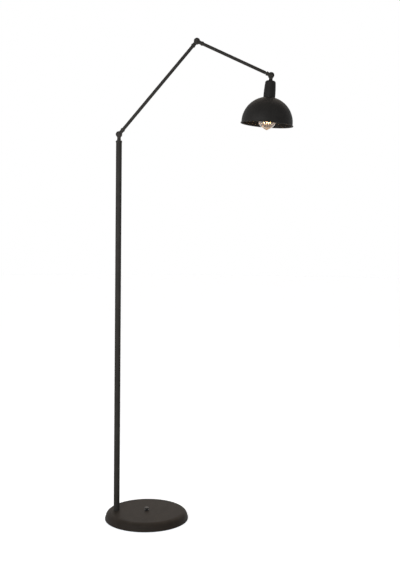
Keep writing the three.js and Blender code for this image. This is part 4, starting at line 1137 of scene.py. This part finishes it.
class FLOOR_LAMP_OT_knuckles(bpy.types.Operator):
    """Makes the three friction knuckles: two lugs, a fibre ring, a slotted screw and a nut each"""

    bl_idname = "floor_lamp.knuckles"
    bl_label = "Knuckles"

    def execute(self, context):
        knuckle = settings().knuckle
        stem = ARM.bore - GAP
        collar_end = ARM.start - GAP
        neck_end = collar_end - knuckle.collar_length
        short_end = UPPER_LENGTH - UPPER_ARM.end - knuckle.groove
        halves = {
            "shoulder_lug_fixed": (SHOULDER, (0, 0, -1), SHOULDER[2] - CAP.end - GAP, None),
            "shoulder_lug_swinging": (SHOULDER, ELBOW - SHOULDER, neck_end, collar_end),
            "elbow_lug_fixed": (ELBOW, SHOULDER - ELBOW, neck_end, collar_end),
            "elbow_lug_swinging": (ELBOW, HEAD_PIVOT - ELBOW, neck_end, collar_end),
            "head_lug_fixed": (HEAD_PIVOT, ELBOW - HEAD_PIVOT, short_end - knuckle.short_collar, short_end),
            "head_lug_swinging": (HEAD_PIVOT, HEAD.turn[:, 2], CUP.start - GAP, None),
        }
        for node, (pivot, axis, neck, collar) in halves.items():
            place = Place(pivot, axis, node.endswith("swinging"))
            mesh = knuckle_half(knuckle, neck, collar, span(node, place).end, stem)
            mesh.transform(place.matrix())
            # the knuckles take the pole's paler copy of the coat, painted light
            stand_in(node, mesh, "pole_coat")
        for name, pivot in zip(KNUCKLES, (SHOULDER, ELBOW, HEAD_PIVOT)):
            along = Place(pivot, SIDEWAYS)
            nut = hexagon(knuckle.nut_flats, NUT.bore, NUT.start, NUT.end, along)
            ring = pipe(FRICTION.bore, FRICTION.radius, FRICTION.start, FRICTION.end, along, edge=0.00008)
            stand_in(f"{name}_pivot_screw", pivot_screw(knuckle, pivot), "pole_coat")
            stand_in(f"{name}_pivot_nut", nut, "pole_coat")
            stand_in(f"{name}_friction_ring", ring)
        return {"FINISHED"}


class FLOOR_LAMP_OT_arms(bpy.types.Operator):
    """Makes the two arm tubes"""

    bl_idname = "floor_lamp.arms"
    bl_label = "Arms"

    def execute(self, context):
        for node, arm, place in (("lower_arm_tube", ARM, LOWER), ("upper_arm_tube", UPPER_ARM, UPPER)):
            tube = pipe(arm.bore, arm.radius, arm.start, arm.end, place, edge=0.0002, sides=64)
            # the arms take the pole's paler copy of the coat, painted light
            stand_in(node, tube, "pole_coat")
        return {"FINISHED"}


# ---------------------------------------------------------------- shade
CUP_MOUTH = 0.15  # straight share of the cup's side, at its mouth
CUP_CURVE = 1.9  # how late the cup's side narrows: 1 is a straight cone
HOLDER_FLANGE = 0.0013  # from the holder's body out to its widest
LIP_DEPTH = 0.0036  # from the dome's skirt down to its lip's end
LIP_NECK, LIP_MOUTH = 0.0012, 0.0016  # how far the lip's two inner corners lie in from its rim


def cup_side(shade, inset):
    """The cup's side from its mouth: straight, then narrower by taper v^1.9 at the share v of the rest."""
    corner = CUP.start + shade.cup_corner
    up = np.linspace(0, 1, 25)
    narrow = shade.cup_taper * np.clip((up - CUP_MOUTH) / (1 - CUP_MOUTH), 0, 1) ** CUP_CURVE
    return np.column_stack([CUP.radius - narrow - inset, CUP.end + (corner - CUP.end) * up])


def cup_outline(shade, inset):
    """The cup's side, its rounded corner and its flat top, moved in by inset."""
    corner = shade.cup_corner
    centre = (CUP.radius - shade.cup_taper - corner, CUP.start + corner)
    bend = arc(centre, corner - inset, inset - corner, steps=16)
    return np.vstack([cup_side(shade, inset), bend[1:], [(CUP.bore, CUP.start + inset)]])


def dome_outline(radius, centre, hole):
    """The dome's arc from its hole out to its widest, about a centre on the axis."""
    first = math.degrees(math.asin(hole / radius))
    turn = np.radians(np.linspace(first, 90, 49))
    return np.column_stack([radius * np.sin(turn), centre - radius * np.cos(turn)])


def shade_outline(shade):
    """The dome's outside, its skirt with a lip that flares and is rolled, and its inside."""
    hole = HOLDER.radius - HOLDER_FLANGE + GAP
    skirt = SHADE.end - LIP_DEPTH
    centre = skirt - shade.skirt
    within = shade.radius - shade.wall
    low, high = SHADE.end - shade.lip_height, SHADE.end
    lip = rounded(
        [
            (shade.radius, centre, 0),
            (shade.radius, skirt, 0.002),
            (SHADE.radius - LIP_NECK, low, 0.0006),
            (SHADE.radius, low, 0.0008),
            (SHADE.radius, high, 0.0009),
            (SHADE.radius - LIP_MOUTH, high, 0.0006),
            (within, skirt + shade.wall, 0.0015),
            (within, centre, 0),
        ]
    )
    outside, inside = (dome_outline(radius, centre, hole) for radius in (shade.radius, within))
    return np.vstack([outside, lip[1:-1], inside[::-1]])


class FLOOR_LAMP_OT_shade(bpy.types.Operator):
    """Makes the tapered socket cup and the spun dome with its rolled lip"""

    bl_idname = "floor_lamp.shade"
    bl_label = "Socket cup and shade"

    def execute(self, context):
        shade = settings().shade
        cup = np.vstack([cup_outline(shade, 0)[::-1], cup_outline(shade, shade.cup_wall)])
        # the cup and dome take the darker copy of the coat, painted shade
        stand_in("socket_cup", turned(cup, HEAD, sides=128), "shade_coat")
        stand_in("shade", turned(shade_outline(shade), HEAD, sides=192), "shade_coat")
        return {"FINISHED"}


# ---------------------------------------------------------------- lamp holder
HOLDER_STEP = 0.0019  # how much slimmer the holder's top is than its body, inside its cap
FLANGE_SLOPE = 0.003  # height of the slope out to the holder's flange
FLANGE_LIFT = 0.002  # from the cup's mouth up to the flange's lower face
RING_FOOT = 0.0026  # height of the shade ring's wide foot
RING_WALL = 0.0034
GRIP_DEPTH, GRIP_EDGE = 0.0007, 0.0004  # of the ridges round the ring's grip, and how far in they reach
FOOT_DEPTH, FOOT_EDGE = 0.0004, 0.0003  # and of those round its foot


def holder_outline():
    """The holder's slim top, a slope out to the flange that carries the shade, and its body below."""
    body = HOLDER.radius - HOLDER_FLANGE
    flange = CUP.end - FLANGE_LIFT
    return rounded(
        [
            (HOLDER.bore, HOLDER.start, 0),
            (body - HOLDER_STEP, HOLDER.start, 0.0004),
            (body - HOLDER_STEP, flange - 2 * FLANGE_SLOPE, 0),
            (HOLDER.radius, flange - FLANGE_SLOPE, 0.0003),
            (HOLDER.radius, flange, 0.0003),
            (body, flange, 0),
            (body, HOLDER.end, 0.0006),
            (HOLDER.bore, HOLDER.end, 0.0006),
        ]
    )


def knurled_ring(shade):
    """The shade ring: a wide foot and a tall grip, both pressed in by ridges all round."""
    ring = SHADE_RING
    grip, foot = ring.bore + RING_WALL, ring.start + RING_FOOT
    outline = rounded(
        [
            (ring.bore, ring.start, 0.0003),
            (ring.radius, ring.start, 0.0005),
            (ring.radius, foot, 0.0005),
            (grip, foot, 0.0004),
            (grip, ring.end, 0.0006),
            (ring.bore, ring.end, 0.0004),
        ]
    )
    reach, height = outline.T
    on_grip = (height > foot + GRIP_EDGE) & (reach > grip - GRIP_EDGE)
    on_foot = reach > ring.radius - FOOT_EDGE
    depths = np.select([on_grip, on_foot], [GRIP_DEPTH, FOOT_DEPTH], 0)
    return turned(outline, HEAD, shade.knurls * 8, shade.knurls, depths)


class FLOOR_LAMP_OT_lamp_holder(bpy.types.Operator):
    """Makes the lamp holder's body and the knurled ring that clamps the shade"""

    bl_idname = "floor_lamp.lamp_holder"
    bl_label = "Lamp holder"

    def execute(self, context):
        stand_in("holder_body", turned(holder_outline(), HEAD))
        stand_in("shade_ring", knurled_ring(settings().shade))
        return {"FINISHED"}


# ---------------------------------------------------------------- bulb
TIP_CURVE = 0.9  # how late the glass's tip narrows: 0.5 is a half ellipse


def glass_outline(bulb, inset):
    """The glass from its neck to its tip: a swell (1 - cos) / 2, then radius (1 - u^2)^0.9 at share u."""
    widest = GLASS.end - bulb.tip_height
    up = np.linspace(0, 1, 41)[:-1]
    swell = bulb.neck_radius + (bulb.radius - bulb.neck_radius) * (0.5 - 0.5 * np.cos(np.pi * up))
    body = np.column_stack([swell - inset, GLASS.start + (widest - GLASS.start) * up])
    on = np.sin(np.linspace(0, np.pi / 2, 41))
    tip_radius = (bulb.radius - inset) * np.clip(1 - on**2, 0, 1) ** TIP_CURVE
    tip = np.column_stack([tip_radius, widest + (bulb.tip_height - inset) * on])
    return np.vstack([body, tip])


SCREW_CAP_WALL = 0.0006
SCREW_CAP_EDGE = (0.0012, 0.001)  # how far its closed end is coned, across and up
THREAD_FADE = 0.6  # how far the thread runs out at each end, in turns


def screw_cap(bulb):
    """A thin cup with a rolled thread: its radius sinks by depth (1 - cos(2 pi h / pitch - t)) / 2."""
    start, end = SCREW_CAP.start, SCREW_CAP.end
    across, up = SCREW_CAP_EDGE
    pitch = (end - start) / bulb.threads
    rise = np.linspace(start + up, end, bulb.threads * 10)
    turn = np.linspace(0, 2 * np.pi, 72, endpoint=False)
    fade = np.clip(np.minimum(rise - start, end - rise) / (THREAD_FADE * pitch), 0, 1)
    wave = 0.5 - 0.5 * np.cos(2 * np.pi * (rise - start)[:, None] / pitch - turn)
    outer = SCREW_CAP.radius - bulb.thread_depth * fade[:, None] * wave
    all_round = np.ones_like(turn)
    foot = all_round * (SCREW_CAP.radius - across)
    radii = [0 * all_round, foot, *outer, *(outer - SCREW_CAP_WALL)[::-1], 0 * all_round]
    heights = [start, start, *rise, *rise[::-1], start + up]
    return lathed(np.array(radii), np.outer(heights, all_round), HEAD)


FLATTENED = 0.55  # how far the mount's press is flattened, at most


def stem_shape():
    """The glass mount: a flared foot, a press that is flattened to an ellipse, and a round rod."""
    flare, tip = BULB_STEM.radius, BULB_STEM.end - BULB_STEM.start
    stations = [  # radius, height above the foot and share of the flattening
        (0, 0, 0),
        (flare, 0, 0),
        (flare * 0.93, 0.0012, 0),
        (0.0072, 0.004, 0),
        (0.0049, 0.007, 0.3),
        (0.0042, 0.01, 0.7),
        (0.004, 0.02, 1),
        (0.0038, 0.027, 1),
        (0.0026, 0.03, 0.6),
        (0.0016, 0.034, 0),
        (0.0015, tip - 0.001, 0),
        (0.0011, tip - 0.0002, 0),
        (0, tip, 0),
    ]
    radius, height, flat = (np.array(column)[:, None] for column in zip(*stations))
    turn = np.linspace(0, 2 * np.pi, 64, endpoint=False)
    thin = 1 - FLATTENED * flat
    radii = radius / np.sqrt(np.cos(turn) ** 2 + (np.sin(turn) / thin) ** 2)
    return lathed(radii, BULB_STEM.start + height + np.zeros_like(turn), HEAD)


LEGS = 8  # straight runs of the filament, between its supports
COIL_ROOM = 0.0006  # between the filament's line and the room it fills
UPPER_CORNERS, LOWER_CORNERS = 0.008, FILAMENT.radius - COIL_ROOM  # from the bulb's axis
SHARPNESS = 0.985  # of the filament's corners, one being a point


def filament_path(along):
    """The zigzag at shares along it, which goes on round the axis by one corner for each leg.

    Radius and depth follow a triangle wave with rounded peaks, asin(k cos(pi u)) / asin(k).
    """
    top, bottom = FILAMENT.start + COIL_ROOM, FILAMENT.end - COIL_ROOM
    leg = along * LEGS
    wave = np.arcsin(SHARPNESS * np.cos(np.pi * leg)) / np.arcsin(SHARPNESS)
    turn = 2 * np.pi * leg / (LEGS + 1)
    radius = (LOWER_CORNERS + UPPER_CORNERS) / 2 - (LOWER_CORNERS - UPPER_CORNERS) / 2 * wave
    depth = (top + bottom) / 2 - (bottom - top) / 2 * wave
    return np.column_stack([radius * np.cos(turn), radius * np.sin(turn), depth])


def filament_coil(bulb):
    """A fine coil round the zigzag: p + r (cos t n + sin t b) at each point p of its line.

    n is the direction away from the bulb's axis, made square to the line, and b is square to both.
    """
    along = np.linspace(0, 1, bulb.coil_turns * 8 + 1)
    line = filament_path(along)
    tangent = unit(np.gradient(line, axis=0))
    away = unit(line * (1, 1, 0))
    normal = unit(away - np.sum(away * tangent, axis=1, keepdims=True) * tangent)
    twist = 2 * np.pi * bulb.coil_turns * along[:, None]
    offset = np.cos(twist) * normal + np.sin(twist) * np.cross(tangent, normal)
    coil = HEAD.outside(line + bulb.coil_radius * offset)
    return carried(coil, bulb.coil_wire, offset @ HEAD.turn.T, sides=5)


HUB_BORE, HUB_RADIUS = 0.0018, 0.0027
WIRE_ROOT = 0.0022  # where the supports' wires start, inside the hub
WIRE_RADIUS = 0.0002
HOOK = 0.0008  # radius of a hook's line


def support_shape(node, reach, first):
    """A hub on the glass rod and wires out to every second corner, each hooked round the filament."""
    hub = span(node, HEAD)
    depth = (hub.start + hub.end) / 2
    shapes = [pipe(HUB_BORE, HUB_RADIUS, hub.start, hub.end, HEAD, edge=0.0002, sides=32)]
    loop = np.radians(np.linspace(180, -120, 15))
    for corner in range(first, LEGS + 1, 2):
        turn = 2 * np.pi * corner / (LEGS + 1)
        run = np.concatenate([np.linspace(WIRE_ROOT, reach - HOOK, 8)[:-1], reach + HOOK * np.cos(loop)])
        rise = np.concatenate([np.zeros(7), HOOK * np.sin(loop)])
        path = np.column_stack([run * np.cos(turn), run * np.sin(turn), depth + rise])
        sideways = np.array((-np.sin(turn), np.cos(turn), 0))
        shapes.append(carried(HEAD.outside(path), WIRE_RADIUS, HEAD.turn @ sideways))
    return together(*shapes)


class FLOOR_LAMP_OT_bulb(bpy.types.Operator):
    """Makes the clear teardrop bulb: glass, screw cap, mount, lit filament and its supports"""

    bl_idname = "floor_lamp.bulb"
    bl_label = "Bulb"

    def execute(self, context):
        bulb = settings().bulb
        glass = np.vstack([glass_outline(bulb, bulb.wall)[::-1], glass_outline(bulb, 0)])
        stand_in("bulb_glass", turned(glass, HEAD, sides=128), crease=60.0)
        stand_in("bulb_screw_cap", screw_cap(bulb))
        stand_in("bulb_stem", stem_shape(), crease=60.0)
        stand_in("bulb_filament", filament_coil(bulb), crease=80.0)
        supports = (("filament_support_upper", UPPER_CORNERS), ("filament_support_lower", LOWER_CORNERS))
        for first, (node, reach) in enumerate(supports):
            stand_in(node, support_shape(node, reach, first))
        return {"FINISHED"}


class FLOOR_LAMP_OT_inner_parts(bpy.types.Operator):
    """Gives the parts inside the lamp, whose frame shapes are kept, their slots' finishes"""

    bl_idname = "floor_lamp.inner_parts"
    bl_label = "Inner parts"

    def execute(self, context):
        for node, item in frame["nodes"].items():
            if not item.hide_render:
                item.data.materials.clear()
                item.data.materials.append(finish(SLOTS[node]))
        return {"FINISHED"}


# ---------------------------------------------------------------- stage
FLOOR_DEPTH = 0.02
FLOOR_CLOUDS = 0.6  # size of the floor's clouds
FLOOR_SHADE = 0.985  # the floor's second colour, of its first
FLOOR_GLOW = (0.9, 0.95, 1, 1)
CEILING_RISE = (0.25, 0.95)  # of a ray, from where the room starts to darken to where it is darkest


def seen_directly(tree):
    """One for rays from the camera, from gloss and through glass, and nothing for light on the lamp."""
    path = add(tree, "LightPath").outputs
    gloss = calc(tree, "MAXIMUM", path["Is Camera Ray"], path["Is Glossy Ray"])
    return calc(tree, "MAXIMUM", gloss, path["Is Transmission Ray"])


def make_floor(stage):
    """A round floor, white to the camera, to gloss and through glass, less the lamp's own shadow."""
    floor = placed("floor", mesh_of(rod(stage.floor_radius, -FLOOR_DEPTH, 0, STAND, sides=128)))
    material, tree, shader, place = new_material("floor")
    first, second = opaque(stage.floor), opaque(scaled(stage.floor, FLOOR_SHADE))
    clouds = use(tree, "Clouds", Vector=place, Size=FLOOR_CLOUDS, First=first, Second=second)
    looks = {
        "Base Color": clouds["Color"],
        "Roughness": 0.9,
        "Specular IOR Level": 0.0,
        "Emission Color": FLOOR_GLOW,
        "Emission Strength": calc(tree, "MULTIPLY", seen_directly(tree), stage.floor_lift),
    }
    feed(tree, shader, looks)
    floor.data.materials.append(material)


def make_room(stage):
    """A pale room: white to look at, with plain light on the lamp that fades towards a darker ceiling."""
    world = bpy.data.worlds.new("room")
    bpy.context.scene.world = world
    world.use_nodes = True
    tree = world.node_tree
    way = add(tree, "TexCoord").outputs["Generated"]
    height = add(tree, "SeparateXYZ", {0: way}).outputs["Z"]
    ceiling = spread(tree, height, *CEILING_RISE, 1.0, stage.ceiling)
    path = add(tree, "LightPath").outputs
    gloss = blend_value(tree, path["Is Glossy Ray"], stage.room_light, 1.0)
    onto_lamp = calc(tree, "MULTIPLY", gloss, ceiling)
    plain = calc(tree, "MAXIMUM", path["Is Camera Ray"], path["Is Transmission Ray"])
    strength = blend_value(tree, plain, onto_lamp, 1.0)
    feed(tree, tree.nodes["Background"], {"Color": (1, 1, 1, 1), "Strength": strength})


# The far lamps: the direction each stands in, its width in degrees, and its tint.
FAR_LAMPS = {
    "side light": ((-0.55, -0.82, 0.1), 40, (0.94, 0.97, 1.0)),
    "top light": ((0.1, 0.6, 0.85), 60, (1.0, 0.84, 0.69)),
}


def make_far_light(name, level):
    """A far, wide lamp. A level of one lights a white surface that faces it to white."""
    direction, width, tint = FAR_LAMPS[name]
    lamp = bpy.data.lights.new(name, "SUN")
    lamp.energy = level * math.pi
    lamp.angle = math.radians(width)
    lamp.color = tint
    placed(name, lamp).matrix_world = Place(ORIGIN, direction).matrix()


def make_front_light(stage):
    """A near, square lamp in front of the pole, so that what stands lower or further off is dimmer."""
    spot = np.array((stage.front_side, -stage.front_distance, stage.front_height))
    aim = np.array((SHOULDER[0], 0, stage.front_height))
    far = np.linalg.norm(spot - aim)
    lamp = bpy.data.lights.new("front light", "AREA")
    lamp.energy = stage.front_light * (math.pi * far) ** 2
    lamp.size = stage.front_width
    item = placed("front light", lamp)
    item.matrix_world = Place(spot, spot - aim).matrix()
    item.visible_camera = False


def make_camera(stage):
    """A camera that looks straight along y, its view shifted so that upright lines stay upright."""
    camera = bpy.data.cameras.new("camera")
    camera.lens = stage.camera_lens
    camera.sensor_width = 36.0
    camera.shift_y = stage.camera_rise
    camera.clip_end = 100.0
    item = placed("camera", camera)
    item.location = (stage.camera_side, -stage.camera_distance, stage.camera_height)
    item.rotation_euler = (math.pi / 2, stage.camera_roll, 0)
    bpy.context.scene.camera = item


class FLOOR_LAMP_OT_stage(bpy.types.Operator):
    """Makes the pale floor, the soft studio light and the camera"""

    bl_idname = "floor_lamp.stage"
    bl_label = "Stage"

    def execute(self, context):
        stage = settings().stage
        make_floor(stage)
        make_room(stage)
        make_far_light("side light", stage.key_light)
        make_far_light("top light", stage.top_light)
        make_front_light(stage)
        make_camera(stage)
        context.scene.view_settings.view_transform = "Standard"
        return {"FINISHED"}


# ---------------------------------------------------------------- panel
OPERATORS = (
    FLOOR_LAMP_OT_base,
    FLOOR_LAMP_OT_foot_switch,
    FLOOR_LAMP_OT_cord_inlet,
    FLOOR_LAMP_OT_pole,
    FLOOR_LAMP_OT_knuckles,
    FLOOR_LAMP_OT_arms,
    FLOOR_LAMP_OT_shade,
    FLOOR_LAMP_OT_lamp_holder,
    FLOOR_LAMP_OT_bulb,
    FLOOR_LAMP_OT_inner_parts,
    FLOOR_LAMP_OT_stage,
)


class FLOOR_LAMP_PT_panel(bpy.types.Panel):
    """Lists the lamp's steps and its sizes and colours"""

    bl_idname = "FLOOR_LAMP_PT_panel"
    bl_label = "Floor Lamp"
    bl_space_type = "VIEW_3D"
    bl_region_type = "UI"
    bl_category = "Floor Lamp"

    def draw(self, context):
        for operator in OPERATORS:
            self.layout.operator(operator.bl_idname)
        for group in LampSettings.__annotations__:
            box = self.layout.box()
            box.label(text=group.capitalize())
            part = getattr(context.scene.floor_lamp, group)
            for name in type(part).__annotations__:
                box.prop(part, name)


CLASSES = (
    BaseSettings,
    SwitchSettings,
    PoleSettings,
    KnuckleSettings,
    ShadeSettings,
    BulbSettings,
    FinishSettings,
    StageSettings,
    LampSettings,
    *OPERATORS,
    FLOOR_LAMP_PT_panel,
)


def register():
    for item in CLASSES:
        bpy.utils.register_class(item)
    bpy.types.Scene.floor_lamp = PointerProperty(type=LampSettings)


def unregister():
    del bpy.types.Scene.floor_lamp
    for item in reversed(CLASSES):
        bpy.utils.unregister_class(item)


def main():
    register()
    bpy.ops.floor_lamp.base()
    bpy.ops.floor_lamp.foot_switch()
    bpy.ops.floor_lamp.cord_inlet()
    bpy.ops.floor_lamp.pole()
    bpy.ops.floor_lamp.knuckles()
    bpy.ops.floor_lamp.arms()
    bpy.ops.floor_lamp.shade()
    bpy.ops.floor_lamp.lamp_holder()
    bpy.ops.floor_lamp.bulb()
    bpy.ops.floor_lamp.inner_parts()
    bpy.ops.floor_lamp.stage()


if __name__ == "__main__":
    main()
